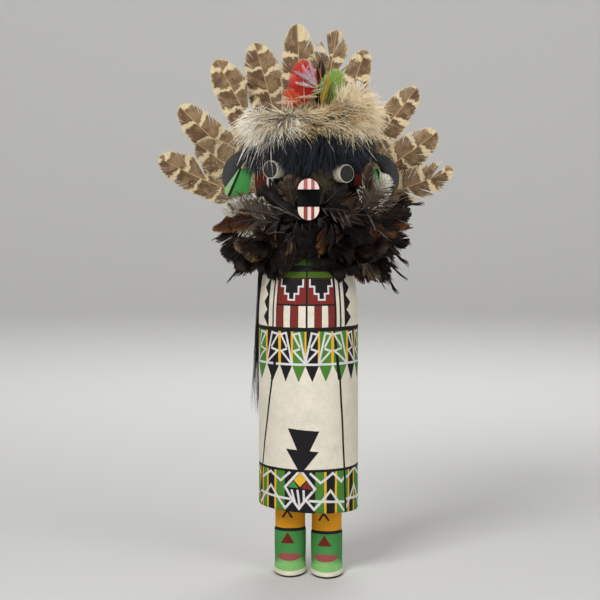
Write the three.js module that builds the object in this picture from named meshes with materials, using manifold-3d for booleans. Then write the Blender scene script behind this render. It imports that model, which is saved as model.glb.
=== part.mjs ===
// A carved and painted kachina doll with a fan of feathers, a fur band and a feather ruff.
// Millimetres, +Z up, the face towards -Y. The origin is under the middle of the object's box.

import * as THREE from 'three';
import { mergeVertices } from 'three/addons/utils/BufferGeometryUtils.js';
import Module from 'manifold-3d';

const wasm = await Module();
wasm.setup();

// ---- driving dimensions ----

const GAP = 0.3; // clearance kept between two pieces that touch

// robe and head, turned about the upright axis
const ROBE_RADIUS = 37.4;
const HEM_HEIGHT = 49.5;
const HEM_TILT = 0.055; // the hem falls this much per millimetre towards +X
const HEM_TILT_FADE = 30; // height over which the robe becomes level again
const SHOULDER_START = 190;
const SHOULDER_TOP = 247;
const NECK_RADIUS = 28;
const NECK_TOP = 258;
const HEAD_RADIUS = 40;
const HEAD_MIDDLE = 303;
const HEAD_HALF_HEIGHT = 44;
const HEAD_ROUNDNESS = 0.62; // 1 is an ellipse, smaller is squarer
const TURNED_SIDES = 28;

// legs and boots
const LEG_RADIUS = 11.6;
const LEG_SPREAD = 13.8; // from the axis to the middle of a leg
const BOOT_LENGTH = 45;
const BOOT_WIDTH = 24.6;
const BOOT_HEIGHT = 36;
const TOE_HEIGHT = 8.5;
const HEEL_BACK = 13; // heel behind the leg's axis
const RIGHT_FOOT_FORWARD = 5;

// snout
const SNOUT_WIDTH = 16.4;
const SNOUT_HEIGHT = 30.8;
const SNOUT_LENGTH = 31;
const SNOUT_MIDDLE = 282.5;
const MOUTH_GAP = 12.6;
const MOUTH_DEPTH = 22;
const MOUTH_RISE = 0.9; // middle of the mouth above the middle of the snout

// eyes
const EYE_RADIUS = 6.7;
const EYE_REACH = 48.6; // from the head's axis to the flat end
const EYE_ANGLE = 35; // degrees to each side of straight ahead
const EYE_HEIGHT_LEFT = 303.4;
const EYE_HEIGHT_RIGHT = 300.4;

// horns
const HORN_RADIUS = 21.4; // outer radius of the crescent
const HORN_WIDTH = 12.8;
const HORN_THICKNESS = 8.5;
const HORN_SPAN = 205; // degrees of arc from tip to tip
const HORN_PLACES = [
  { name: 'horn_left', side: -1, x: -43.5, z: 301, lean: 0 },
  { name: 'horn_right', side: 1, x: 46.9, z: 298.5, lean: 4 },
];
const HORN_BACK = 8.5;

// ears
const EAR_TOP_WIDTH = 10.6;
const EAR_BOTTOM_WIDTH = 18;
const EAR_HEIGHT = 22;
const EAR_SLANT = 8; // how far the bottom edge lies outside the top edge
const EAR_THICKNESS = 3;
const EAR_TOP = 304.5;
const EAR_INSET = 41.2;
const EAR_FRONT = -6.5;

// hair and fur
const FRINGE = { radius: 41.6, depth: 3.9, height: 12.4, level: 324, span: 174 };
const FUR = { radius: 38.5, depth: 9.5, height: 11, level: 341, span: 214, sides: 10, steps: 20 };
const BACK_HAIR = { top: 226, bottom: 131, left: 62, right: 44, depth: 9, flare: 4.5 };

// feathers
const FEATHER_THICKNESS = 1.1;
const QUILL_HALF = 1.2;
const VANE_SWELL = 0.28; // share of the vane over which it reaches its full width
const VANE_BLUNTNESS = 6; // higher keeps the width nearer to the tip
const FAN = { x: -2.5, y: 46.4, z: 259, start: 17, quill: 42, layer: 3, tilt: 3 };
const FAN_FEATHERS = [
  // degrees from upright, tip distance, width, layer, depth of the notch at the tip
  { angle: -65, reach: 122, width: 25, layer: 1, notch: 0 },
  { angle: -52.8, reach: 102, width: 26, layer: -2, notch: 0 },
  { angle: -46.5, reach: 131, width: 25, layer: 0, notch: 0 },
  { angle: -28.4, reach: 142, width: 27, layer: -1, notch: 9 },
  { angle: -15.7, reach: 144, width: 26, layer: 2, notch: 0 },
  { angle: -2.3, reach: 153, width: 26, layer: 1, notch: 0 },
  { angle: 9.2, reach: 150, width: 30, layer: 0, notch: 7 },
  { angle: 19, reach: 140, width: 22, layer: -1, notch: 0 },
  { angle: 38.9, reach: 134, width: 23, layer: 0, notch: 0 },
  { angle: 54.5, reach: 122, width: 26, layer: 1, notch: 0 },
  { angle: 68.8, reach: 119, width: 24, layer: 0, notch: 0 },
];
const CREST_FEATHERS = [
  { name: 'red', x: -3, y: 9, lean: -2, length: 37, width: 18, colour: 0xc98a86 },
  { name: 'orange', x: -6, y: 1, lean: -38, length: 18, width: 9, colour: 0xb4543a },
  { name: 'brown', x: 7, y: 17, lean: 4, length: 44, width: 9, colour: 0x4a3527 },
  { name: 'green', x: 13, y: 10, lean: 16, length: 32, width: 15, colour: 0xa9b368 },
  { name: 'yellow', x: 9, y: 3, lean: 14, length: 25, width: 8, colour: 0xb9a548 },
  { name: 'white', x: 22, y: 20, lean: 33, length: 32, width: 15, colour: 0xcfc8ba },
];
const RUFF_TIERS = [
  // base height, elevation in front, at the sides and behind, length, width, angles in degrees
  { level: 257, front: -4, side: 20, back: -2, length: 50, width: 18, count: 10, first: 18 },
  { level: 253, front: -36, side: -7, back: -16, length: 52, width: 19, count: 9, first: 0 },
  { level: 249, front: -60, side: -36, back: -32, length: 49, width: 19, count: 9, first: 20 },
];
const RUFF_BASE = 29.5;

// ---- materials ----

const finish = (color, roughness = 0.8) =>
  new THREE.MeshStandardMaterial({ color, roughness, metalness: 0 });

const paintedWood = finish(0xe1dccb);
const snoutPaint = finish(0xe0b8b0, 0.7);
const pegPaint = finish(0xb8afa0, 0.75);
const hornPaint = finish(0x464646, 0.75);
const earPaint = finish(0x679857, 0.8);
const blackHair = finish(0x15161a, 0.55);
const creamFur = finish(0xb4a078, 0.95);
const barredFeather = finish(0x876b4e, 0.75);
const darkFeather = finish(0x2b211a, 0.6);

// ---- shared helpers ----

const kachina = new THREE.Group();
const radians = THREE.MathUtils.degToRad;

function addPiece(name, geometry, material, parent = kachina) {
  const piece = new THREE.Mesh(geometry, material);
  piece.name = name;
  parent.add(piece);
  return piece;
}

// Moves every vertex of a closed geometry by a function of its place.
function reshape(geometry, move) {
  const places = geometry.attributes.position;
  const point = new THREE.Vector3();
  for (let i = 0; i < places.count; i++) {
    point.fromBufferAttribute(places, i);
    move(point);
    places.setXYZ(i, point.x, point.y, point.z);
  }
  return geometry;
}

function toSolid(geometry) {
  const bare = new THREE.BufferGeometry();
  bare.setAttribute('position', geometry.attributes.position);
  bare.setIndex(geometry.index);
  const merged = mergeVertices(bare, 1e-4);
  return new wasm.Manifold(new wasm.Mesh({
    numProp: 3,
    vertProperties: new Float32Array(merged.attributes.position.array),
    triVerts: new Uint32Array(merged.index.array),
  }));
}

function toGeometry(solid) {
  const { vertProperties, triVerts } = solid.getMesh();
  const geometry = new THREE.BufferGeometry();
  geometry.setAttribute('position', new THREE.BufferAttribute(vertProperties, 3));
  geometry.setIndex(new THREE.BufferAttribute(triVerts, 1));
  geometry.computeVertexNormals();
  return geometry;
}

// A rounded bar bent round an arc in the XY plane, thickest halfway and closed to a point at
// both ends. size(t) gives its half depth across the arc, half height and level, t from -1 to 1.
function bentBar(radius, span, size, sides = 10, steps = 14) {
  const geometry = new THREE.SphereGeometry(1, sides, steps);
  return reshape(geometry, (p) => {
    const along = THREE.MathUtils.clamp(p.y, -1, 1);
    const t = Math.asin(along) / (Math.PI / 2);
    const ring = Math.sqrt(Math.max(0, 1 - along * along));
    const across = ring > 1e-6 ? p.x / ring : 0;
    const upward = ring > 1e-6 ? p.z / ring : 0;
    const { depth, height, level, shift = 0 } = size(t);
    const taper = Math.sqrt(ring);
    const turn = radians(span / 2) * t;
    const reach = radius + shift - across * depth * taper;
    p.set(Math.sin(turn) * reach, -Math.cos(turn) * reach, level - upward * height * taper);
  });
}

// ---- figure: head, robe, legs and boots carved from one root ----

// Height and radius of the head's outline at an angle from its lowest to its highest point.
function headPoint(angle, grow = 0) {
  const upward = Math.sin(angle);
  const height = Math.sign(upward) * Math.abs(upward) ** HEAD_ROUNDNESS;
  const radius = Math.cos(angle) ** HEAD_ROUNDNESS;
  return new THREE.Vector2(
    (HEAD_RADIUS + grow) * radius,
    HEAD_MIDDLE + (HEAD_HALF_HEIGHT + grow) * height,
  );
}

function turned(profile, sides = TURNED_SIDES) {
  return new THREE.LatheGeometry(profile, sides).rotateX(Math.PI / 2);
}

function headOutline(steps, grow = 0) {
  const outline = [];
  for (let i = 1; i < steps; i++) {
    const angle = Math.PI * (i / steps - 0.5);
    outline.push(headPoint(angle, grow));
  }
  return outline;
}

function figureSolid() {
  const outline = [
    new THREE.Vector2(0, HEM_HEIGHT),
    new THREE.Vector2(ROBE_RADIUS - 1.2, HEM_HEIGHT),
    new THREE.Vector2(ROBE_RADIUS, HEM_HEIGHT + 1.5),
    new THREE.Vector2(ROBE_RADIUS, HEM_HEIGHT + HEM_TILT_FADE),
    new THREE.Vector2(ROBE_RADIUS, SHOULDER_START),
  ];
  const shoulderSteps = 7;
  for (let i = 1; i <= shoulderSteps; i++) {
    const t = i / shoulderSteps;
    const swell = Math.cos(t * Math.PI / 2) ** 0.8;
    outline.push(new THREE.Vector2(
      NECK_RADIUS + (ROBE_RADIUS - NECK_RADIUS) * swell,
      SHOULDER_START + (SHOULDER_TOP - SHOULDER_START) * t,
    ));
  }
  outline.push(new THREE.Vector2(NECK_RADIUS, NECK_TOP));
  for (const point of headOutline(18)) {
    if (point.y > NECK_TOP + 1 && (point.x > NECK_RADIUS || point.y > HEAD_MIDDLE)) {
      outline.push(point);
    }
  }
  outline.push(new THREE.Vector2(0, HEAD_MIDDLE + HEAD_HALF_HEIGHT));
  const body = reshape(turned(outline), (p) => {
    const fade = THREE.MathUtils.clamp(1 - (p.z - HEM_HEIGHT) / HEM_TILT_FADE, 0, 1);
    p.z -= HEM_TILT * p.x * fade;
  });
  let solid = toSolid(body);
  for (const side of [-1, 1]) {
    const forward = side > 0 ? RIGHT_FOOT_FORWARD : 0;
    const leg = new THREE.CylinderGeometry(LEG_RADIUS, LEG_RADIUS, HEM_HEIGHT, 20);
    leg.rotateX(Math.PI / 2).translate(side * LEG_SPREAD, -forward, HEM_HEIGHT / 2 + 6);
    const boot = bootGeometry().translate(side * LEG_SPREAD, -forward, 0);
    solid = solid.add(toSolid(leg)).add(toSolid(boot));
  }
  return solid;
}

// A soft boot round the leg's axis, its toe towards -Y and its sole flat on the ground.
function bootGeometry() {
  const box = new THREE.BoxGeometry(2, 2, 1, 6, 10, 4);
  const middle = HEEL_BACK - BOOT_LENGTH / 2;
  return reshape(box, (p) => {
    const u = p.x;
    const v = p.y;
    const up = p.z + 0.5;
    const y = middle + v * BOOT_LENGTH / 2;
    const end = v < 0 ? 0.5 * Math.abs(v) ** 2.2 : 0.42 * v ** 4;
    const half = BOOT_WIDTH / 2 * Math.sqrt(1 - end * 1.55) * (1 - 0.08 * up);
    const ankle = THREE.MathUtils.smoothstep(y, -LEG_RADIUS - 6.5, -LEG_RADIUS + 2.5);
    const toe = TOE_HEIGHT * (0.62 + 0.38 * THREE.MathUtils.smoothstep(v, -1, -0.5));
    const height = THREE.MathUtils.lerp(toe, BOOT_HEIGHT, ankle);
    const crown = 1 - (1 - 0.4 * ankle) * 0.42 * u * u;
    const corner = 1 - 0.16 * up * up * v * v;
    p.set(u * half * corner, y * (v > 0 ? corner : 1), up * height * (up > 0.3 ? crown : 1));
  });
}

const figure = figureSolid();
addPiece('figure', toGeometry(figure), paintedWood);

// The head with the clearance round it, which trims the pieces that sit on it.
const headClearance = toSolid(turned([
  new THREE.Vector2(0, HEAD_MIDDLE - HEAD_HALF_HEIGHT),
  ...headOutline(18, GAP),
  new THREE.Vector2(0, HEAD_MIDDLE + HEAD_HALF_HEIGHT + GAP),
]));

// ---- snout: a block with round top and bottom, its mouth sawn in from the front ----

function snoutGeometry() {
  const half = SNOUT_WIDTH / 2;
  const straight = SNOUT_HEIGHT / 2 - half;
  const outline = new THREE.Shape();
  outline.absarc(0, straight, half, 0, Math.PI);
  outline.absarc(0, -straight, half, Math.PI, 2 * Math.PI);
  const length = SNOUT_LENGTH + HEAD_RADIUS / 2;
  const block = new THREE.ExtrudeGeometry(outline, {
    depth: length, curveSegments: 14, bevelThickness: 0.8, bevelSize: 0.8, bevelSegments: 2,
    bevelOffset: -0.8,
  });
  const front = HEAD_RADIUS + SNOUT_LENGTH;
  block.rotateX(Math.PI / 2).translate(0, length - front, SNOUT_MIDDLE);
  const mouth = new THREE.BoxGeometry(SNOUT_WIDTH * 2, MOUTH_DEPTH * 2, MOUTH_GAP);
  mouth.translate(0, -front, SNOUT_MIDDLE + MOUTH_RISE);
  return toGeometry(toSolid(block).subtract(toSolid(mouth)).subtract(headClearance));
}

addPiece('snout', snoutGeometry(), snoutPaint);

// ---- eyes: dowel pegs set square to the round of the head ----

for (const [name, side, height] of [
  ['eye_left', -1, EYE_HEIGHT_LEFT],
  ['eye_right', 1, EYE_HEIGHT_RIGHT],
]) {
  const root = HEAD_RADIUS - 8;
  const peg = new THREE.CylinderGeometry(EYE_RADIUS, EYE_RADIUS, EYE_REACH - root, 20);
  peg.translate(0, (EYE_REACH + root) / 2, 0).rotateX(Math.PI);
  peg.rotateZ(side * radians(EYE_ANGLE)).translate(0, 0, height);
  addPiece(name, toGeometry(toSolid(peg).subtract(headClearance)), pegPaint);
}

// ---- horns: flat crescents that rise beside the head and turn in again at the tip ----

for (const { name, side, x, z, lean } of HORN_PLACES) {
  const spine = HORN_RADIUS - HORN_WIDTH / 2;
  const crescent = bentBar(spine, HORN_SPAN, () => ({
    depth: HORN_WIDTH / 2, height: HORN_THICKNESS / 2, level: 0,
  }), 10, 14);
  crescent.rotateX(Math.PI / 2);
  const horn = addPiece(name, crescent, hornPaint);
  horn.rotation.y = side < 0 ? radians(90 + lean) : radians(-90 - lean);
  horn.position.set(x, HORN_BACK, z);
}

// ---- ears: flat flaps that stand out from the sides of the head ----

function earGeometry(side) {
  const outline = new THREE.Shape();
  outline.moveTo(0, 0);
  outline.lineTo(EAR_TOP_WIDTH, -1);
  outline.lineTo(EAR_BOTTOM_WIDTH + 3.5, -EAR_HEIGHT * 0.68);
  outline.quadraticCurveTo(EAR_BOTTOM_WIDTH + 3, -EAR_HEIGHT * 0.92, EAR_SLANT + 6, -EAR_HEIGHT);
  outline.lineTo(4, -EAR_HEIGHT - 1);
  const plate = new THREE.ExtrudeGeometry(outline, {
    depth: EAR_THICKNESS - 1, curveSegments: 5, bevelThickness: 0.5, bevelSize: 0.5,
    bevelSegments: 1, bevelOffset: -0.5,
  });
  plate.rotateX(Math.PI / 2);
  if (side < 0) {
    plate.rotateZ(Math.PI);
  }
  return plate;
}

for (const [name, side] of [['ear_left', -1], ['ear_right', 1]]) {
  const ear = addPiece(name, earGeometry(side), earPaint);
  ear.position.set(side * EAR_INSET, EAR_FRONT, EAR_TOP);
}

// ---- hair and fur ----

function furSize(t, grow = 0) {
  const left = Math.exp(-(((t + 0.55) / 0.3) ** 2));
  const right = Math.exp(-(((t - 0.62) / 0.3) ** 2));
  return {
    depth: FUR.depth + 2 * left + 4 * right + grow,
    height: FUR.height + 4 * left + 11 * right + grow,
    level: FUR.level - 3 * left + 4 * right,
    shift: 1 * left + 3 * right,
  };
}

const fur = toSolid(bentBar(FUR.radius, FUR.span, (t) => furSize(t), FUR.sides, FUR.steps));
addPiece('fur_band', toGeometry(fur.subtract(headClearance)), creamFur);

const furClearance = toSolid(
  bentBar(FUR.radius, FUR.span + 1, (t) => furSize(t, GAP + 0.1), FUR.sides, FUR.steps),
);
const fringe = toSolid(bentBar(FRINGE.radius, FRINGE.span, () => FRINGE, 8, 18));
addPiece('hair_fringe', toGeometry(fringe.subtract(headClearance).subtract(furClearance)), blackHair);

// A thick curtain of hair that follows the back of the robe and stands off it towards its end.
function backHairGeometry() {
  const box = new THREE.BoxGeometry(2, 1, 1, 12, 1, 5);
  return reshape(box, (p) => {
    const side = (p.x + 1) / 2;
    const down = 0.5 - p.z;
    const turn = radians(THREE.MathUtils.lerp(-BACK_HAIR.left, BACK_HAIR.right, side));
    const edge = 1 - 0.35 * p.x ** 4;
    const inside = ROBE_RADIUS + 0.6;
    const reach = p.y < 0
      ? inside
      : inside + (BACK_HAIR.depth * edge + BACK_HAIR.flare * Math.sin(Math.PI * down));
    const ragged = 6 * Math.cos(p.x * Math.PI * 1.5) * down;
    const z = BACK_HAIR.top + (BACK_HAIR.bottom - BACK_HAIR.top) * down + ragged;
    p.set(Math.sin(turn) * reach, Math.cos(turn) * reach, z);
  });
}

addPiece('back_hair', backHairGeometry(), blackHair);

// ---- feathers ----

// A feather from its quill end at the origin along +Z, with its face towards -Y.
function featherGeometry({ length, width, quill, notch = 0, droop = 0, camber = 0.12, rows = 9 }) {
  const box = new THREE.BoxGeometry(2, 1, 1, 2, 1, rows);
  const bare = quill / length;
  return reshape(box, (p) => {
    const t = p.z + 0.5;
    const vane = Math.max(0, (t - bare) / (1 - bare));
    const swell = Math.min(1, (vane / VANE_SWELL) ** 0.6);
    const narrowing = Math.sqrt(1 - 0.95 * vane ** VANE_BLUNTNESS);
    const half = Math.max(QUILL_HALF, width / 2 * swell * narrowing);
    const fork = notch * (1 - Math.abs(p.x)) * vane ** 4;
    const x = p.x * half;
    const bow = camber * half * p.x * p.x - droop * length * t * t;
    p.set(x, bow + p.y * FEATHER_THICKNESS, t * length - fork);
  });
}

const fan = new THREE.Group();
fan.position.set(FAN.x, FAN.y, FAN.z);
fan.rotation.x = radians(-FAN.tilt);
kachina.add(fan);
FAN_FEATHERS.forEach(({ angle, reach, width, layer, notch }, index) => {
  const geometry = featherGeometry({
    length: reach - FAN.start, width, notch, quill: FAN.quill, rows: 9,
  });
  const number = String(index + 1).padStart(2, '0');
  const feather = addPiece(`fan_feather_${number}`, geometry, barredFeather, fan);
  const turn = radians(angle);
  feather.rotation.y = turn;
  feather.position.set(
    Math.sin(turn) * FAN.start, layer * FAN.layer, Math.cos(turn) * FAN.start,
  );
});

// Height of the top of the head at a place on it.
function crownHeight(x, y) {
  const spread = Math.min(1, Math.hypot(x, y) / HEAD_RADIUS) ** (1 / HEAD_ROUNDNESS);
  const upward = Math.sqrt(1 - spread * spread);
  return HEAD_MIDDLE + HEAD_HALF_HEIGHT * upward ** HEAD_ROUNDNESS;
}

for (const { name, x, y, lean, length, width, colour } of CREST_FEATHERS) {
  const geometry = featherGeometry({ length, width, quill: length * 0.25, rows: 6 });
  const feather = addPiece(`crest_feather_${name}`, geometry, finish(colour));
  feather.rotation.y = radians(lean);
  feather.position.set(x, y, crownHeight(x, y) + 1.2);
}

let ruffCount = 0;
for (const tier of RUFF_TIERS) {
  for (let i = 0; i < tier.count; i++) {
    const turn = radians(tier.first + i * 360 / tier.count);
    const ahead = Math.cos(turn);
    const end = ahead > 0 ? tier.front : tier.back;
    const elevation = THREE.MathUtils.lerp(tier.side, end, ahead * ahead);
    const geometry = featherGeometry({
      length: tier.length, width: tier.width, quill: 5, droop: -0.06, camber: -0.12, rows: 6,
    });
    ruffCount += 1;
    const spoke = new THREE.Group();
    spoke.rotation.z = turn;
    kachina.add(spoke);
    const number = String(ruffCount).padStart(2, '0');
    const feather = addPiece(`ruff_feather_${number}`, geometry, darkFeather, spoke);
    feather.rotation.x = radians(90 - elevation);
    feather.position.set(0, -RUFF_BASE, tier.level);
  }
}

// ---- origin: on the ground under the middle of the whole object ----

kachina.updateMatrixWorld(true);
const box = new THREE.Box3().setFromObject(kachina, true);
kachina.position.set(-(box.min.x + box.max.x) / 2, -(box.min.y + box.max.y) / 2, -box.min.z);

export default kachina;
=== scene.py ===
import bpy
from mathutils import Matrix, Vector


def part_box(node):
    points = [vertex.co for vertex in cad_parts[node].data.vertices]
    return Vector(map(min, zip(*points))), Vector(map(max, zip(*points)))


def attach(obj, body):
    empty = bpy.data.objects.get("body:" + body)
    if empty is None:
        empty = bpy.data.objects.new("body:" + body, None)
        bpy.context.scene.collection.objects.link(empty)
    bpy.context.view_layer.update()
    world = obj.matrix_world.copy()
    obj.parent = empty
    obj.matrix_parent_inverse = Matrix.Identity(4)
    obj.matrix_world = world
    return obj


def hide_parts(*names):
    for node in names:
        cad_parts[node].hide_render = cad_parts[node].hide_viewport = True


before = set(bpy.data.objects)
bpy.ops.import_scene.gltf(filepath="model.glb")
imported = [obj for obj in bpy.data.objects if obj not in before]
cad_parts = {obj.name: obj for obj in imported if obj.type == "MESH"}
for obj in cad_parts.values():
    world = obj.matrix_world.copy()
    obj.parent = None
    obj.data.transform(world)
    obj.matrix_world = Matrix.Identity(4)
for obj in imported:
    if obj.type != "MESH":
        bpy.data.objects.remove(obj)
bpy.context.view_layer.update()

import math

import bpy
import bmesh
import numpy as np
from mathutils import Vector, noise
from mathutils.geometry import delaunay_2d_cdt

MM = 0.001


# ---- Carved figure: head, robe, legs and boots ----
# One length of dry cottonwood root, turned by knife into a round robe and a block head, with two
# short legs left below. It is covered with white gesso and painted with matt earth colours.

carving_low, carving_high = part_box("figure")
AXIS_X = (carving_low.x + carving_high.x) / 2
AXIS_Y = (carving_low.y + carving_high.y) / 2
HEAD_RADIUS = (carving_high.x - carving_low.x) / 2 / MM
CROWN = carving_high.z / MM
HEAD_HALF_HEIGHT = 44
HEAD_MIDDLE = CROWN - HEAD_HALF_HEIGHT
HEAD_SQUARENESS = 0.62
ROBE_RADIUS = 37.4
HEM = 49.5
HEM_TILT = 0.055
HEM_TILT_FADE = 30
SHOULDER = 190
SHOULDER_TOP = 247
NECK_RADIUS = 28
NECK_TOP = 258


def pigment(hex_code):
    """Linear colour of a paint given as it looks, in red, green and blue."""
    parts = [int(hex_code[i:i + 2], 16) / 255 for i in (0, 2, 4)]
    return [c / 12.92 if c < 0.04045 else ((c + 0.055) / 1.055) ** 2.4 for c in parts] + [1.0]


GESSO = pigment("e4dccb")
BLACK = pigment("1a191b")
FACE_BLACK = pigment("0e0e10")
BRICK = pigment("7c2b24")
LEAF_GREEN = pigment("4c8231")
MOSS_GREEN = pigment("4a641c")
CORN_YELLOW = pigment("e8b432")
CHALK = pigment("dcdad9")
OCHRE = pigment("d9961c")
BOOT_GREEN = pigment("458a48")
# the lighter green of the boot toes, painted light
TOE_LIT_GREEN = pigment("88c274")
DULL_ROSE = pigment("96504a")
OX_BLOOD = pigment("6a2418")
SOLE_WHITE = pigment("e2dec8")
# dark paint under the soles, painted shadow
SOLE_SHADOW_DARK = pigment("3a332b")


def anticlockwise(points):
    area = sum(a[0] * b[1] - b[0] * a[1] for a, b in zip(points, points[1:] + points[:1]))
    return points[::-1] if area < 0 else points


class PaintedSheet:
    """A flat layout of painted shapes, later laid round a carved form.

    The layout is in millimetres: u runs round the form to the viewer's right, v runs up it.
    """

    def __init__(self, left, right, low, high, ground, degree):
        self.corners = (left, right, low, high)
        self.degree = degree
        self.points = []
        self.loops = []
        self.colours = []
        self.lines = []
        self.shape([(left, low), (right, low), (right, high), (left, high)], ground, False)

    def shape(self, outline, colour, angles=True):
        """Fills an outline of (degrees or u, v) points. Later shapes cover earlier ones."""
        scale = self.degree if angles else 1
        flat = anticlockwise([(self.kept_in(u * scale), v) for u, v in outline])
        first = len(self.points)
        self.points += flat
        self.loops.append(list(range(first, len(self.points))))
        self.colours.append(colour)

    def kept_in(self, u):
        """u held within the sheet, and exactly on its edge where it is close to it."""
        left, right = self.corners[:2]
        if u < left + 0.05:
            return left
        return right if u > right - 0.05 else u

    def band(self, low, high, colour, left=None, right=None):
        if left is None:
            left = self.corners[0] / self.degree
            right = self.corners[1] / self.degree
        self.shape([(left, low), (right, low), (right, high), (left, high)], colour)

    def stroke(self, path, width, colour, closed=False):
        """A brush line of one width along (degrees, v) points, with mitred corners."""
        flat = [Vector((u * self.degree, v)) for u, v in path]
        count = len(flat)
        sides = ([], [])
        for i, point in enumerate(flat):
            before = flat[i - 1] if closed or i > 0 else None
            after = flat[(i + 1) % count] if closed or i < count - 1 else None
            way_in = (point - before).normalized() if before is not None else None
            way_out = (after - point).normalized() if after is not None else None
            way_in = way_in or way_out
            way_out = way_out or way_in
            across = Vector((-(way_in + way_out).y, (way_in + way_out).x)).normalized()
            square = Vector((-way_in.y, way_in.x))
            reach = width / 2 / max(0.45, across.dot(square))
            sides[0].append(point + across * reach)
            sides[1].append(point - across * reach)
        if closed:
            for i in range(count):
                j = (i + 1) % count
                quad = [sides[0][i], sides[0][j], sides[1][j], sides[1][i]]
                self.shape([tuple(p) for p in quad], colour, False)
        else:
            outline = sides[0] + sides[1][::-1]
            self.shape([tuple(p) for p in outline], colour, False)

    def ring(self, v):
        """A row of vertices at one height, so that the sheet bends there."""
        self.lines.append([(self.corners[0], v), (self.corners[1], v)])

    def lay(self, place, columns, wobble=0.16, seed=0):
        """Cuts the sheet into triangles and lays them on the form with place(u, v)."""
        left, right, low, high = self.corners
        points = [Vector(p) for p in self.points]
        edges = []
        for i in range(columns + 1):
            u = left + (right - left) * i / columns
            self.lines.append([(u, low), (u, high)])
        for a, b in self.lines:
            edges.append((len(points), len(points) + 1))
            points += [Vector(a), Vector(b)]
        flat, _, faces, _, _, sources = delaunay_2d_cdt(points, edges, self.loops, 1, 1e-5, True)
        corners = []
        for p in flat:
            calm = min(1, (p.x - left) / 4, (right - p.x) / 4, (p.y - low) / 2, (high - p.y) / 2)
            calm = max(0, calm) * wobble
            drift = noise.noise_vector(Vector((p.x / 5, p.y / 5, seed)))
            corners.append(place(p.x + drift.x * calm, p.y + drift.y * calm))
        tints = [self.colours[max(source)] if source else self.colours[0] for source in sources]
        return corners, [list(face) for face in faces], tints


def placed(name, mesh):
    """A new piece in the scene, at the origin, with its place in its mesh."""
    piece = bpy.data.objects.new(name, mesh)
    bpy.context.scene.collection.objects.link(piece)
    return piece


def closed_mesh(name, parts):
    """One mesh from (corners, faces, tints) parts, its seams and poles merged."""
    mesh = bpy.data.meshes.new(name)
    build = bmesh.new()
    paint = build.loops.layers.float_color.new("paint")
    for corners, faces, tints in parts:
        made = [build.verts.new(corner) for corner in corners]
        for face, tint in zip(faces, tints):
            skin = build.faces.new([made[i] for i in face])
            skin.smooth = True
            for loop in skin.loops:
                loop[paint] = tint
    bmesh.ops.remove_doubles(build, verts=build.verts, dist=2e-6)
    bmesh.ops.dissolve_degenerate(build, edges=build.edges, dist=1e-6)
    build.to_mesh(mesh)
    build.free()
    return placed(name, mesh)


def head_profile(angle):
    """(radius, height) of the head at an angle from its lowest to its highest point."""
    upward = math.sin(angle)
    rise = math.copysign(abs(upward) ** HEAD_SQUARENESS, upward)
    return (HEAD_RADIUS * max(0, math.cos(angle)) ** HEAD_SQUARENESS,
            HEAD_MIDDLE + HEAD_HALF_HEIGHT * rise)


def turned_profile():
    """The turned outline as (layout height, radius, height): underside, robe, neck and head."""
    rows = [(HEM - ROBE_RADIUS, 0, HEM), (HEM - 1.2, ROBE_RADIUS - 1.2, HEM),
            (HEM - 0.5, ROBE_RADIUS - 0.4, HEM + 0.25), (HEM, ROBE_RADIUS, HEM + 0.9),
            (SHOULDER, ROBE_RADIUS, SHOULDER)]
    steps = 19
    for i in range(1, steps + 1):
        t = i / steps
        height = SHOULDER + (SHOULDER_TOP - SHOULDER) * t
        swell = math.cos(t * math.pi / 2) ** 0.8 if t < 1 else 0
        rows.append((height, NECK_RADIUS + (ROBE_RADIUS - NECK_RADIUS) * swell, height))
    rows.append((NECK_TOP, NECK_RADIUS, NECK_TOP))
    angles = np.linspace(-math.pi / 2, math.pi / 2, 120)
    head = [head_profile(a) for a in angles]
    start = next(i for i, (r, z) in enumerate(head) if r > NECK_RADIUS and z > NECK_TOP + 1)
    along = NECK_TOP
    last = rows[-1][1:]
    for r, z in head[start:]:
        along += math.hypot(r - last[0], z - last[1])
        rows.append((along, r, z))
        last = (r, z)
    rows[-1] = (along, 0, CROWN)
    return np.array(rows)


PROFILE = turned_profile()
SHEET_TOP = float(PROFILE[-1, 0])
ROUND = ROBE_RADIUS * math.pi


def layout_height(z):
    """Layout height of a point on the head at height z."""
    head = PROFILE[PROFILE[:, 2] > NECK_TOP]
    return float(np.interp(z, head[:, 2], head[:, 0]))


def place_on_figure(u, v):
    turn = u / ROBE_RADIUS
    radius = float(np.interp(v, PROFILE[:, 0], PROFILE[:, 1]))
    height = float(np.interp(v, PROFILE[:, 0], PROFILE[:, 2]))
    spot = Vector((math.sin(turn) * 1.6, math.cos(turn) * 1.6, height / 24))
    radius += 0.22 * noise.noise(spot) * min(1, radius / 10)
    x = math.sin(turn) * radius
    fade = min(1, max(0, 1 - (height - HEM) / HEM_TILT_FADE))
    height -= HEM_TILT * x * fade
    return (AXIS_X + x * MM, AXIS_Y - math.cos(turn) * radius * MM, height * MM)


WAIST_LINE = (184.4, 187.4)
BAND_FOOT, FRINGE_TIP = 160.6, 146.8
BORDER = (HEM - 2, 81.4)
BAND_BLOCKS = [
    # from and to (degrees), colour of the block, where its leaf leans (-1 to the left)
    (-176, -161, BLACK, 1), (-158, -143, LEAF_GREEN, -1), (-140, -125, BLACK, 1),
    (-122, -104.5, BLACK, -1), (-101.5, -82, LEAF_GREEN, 1), (-79, -57.4, LEAF_GREEN, -1),
    (-54.0, -36.6, BLACK, -1), (-33.0, -20.4, BLACK, 1), (-17.8, -4.4, LEAF_GREEN, 1),
    (-2.4, 10.8, BLACK, -1), (13.2, 26.8, LEAF_GREEN, -1), (30.2, 48.2, LEAF_GREEN, 1),
    (51.4, 64.4, BLACK, 1), (67.4, 84.0, LEAF_GREEN, 1), (87, 104.5, BLACK, -1),
    (107, 122, LEAF_GREEN, -1), (125, 140, BLACK, 1), (143, 158, LEAF_GREEN, -1),
    (161, 176, BLACK, 1),
]
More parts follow.
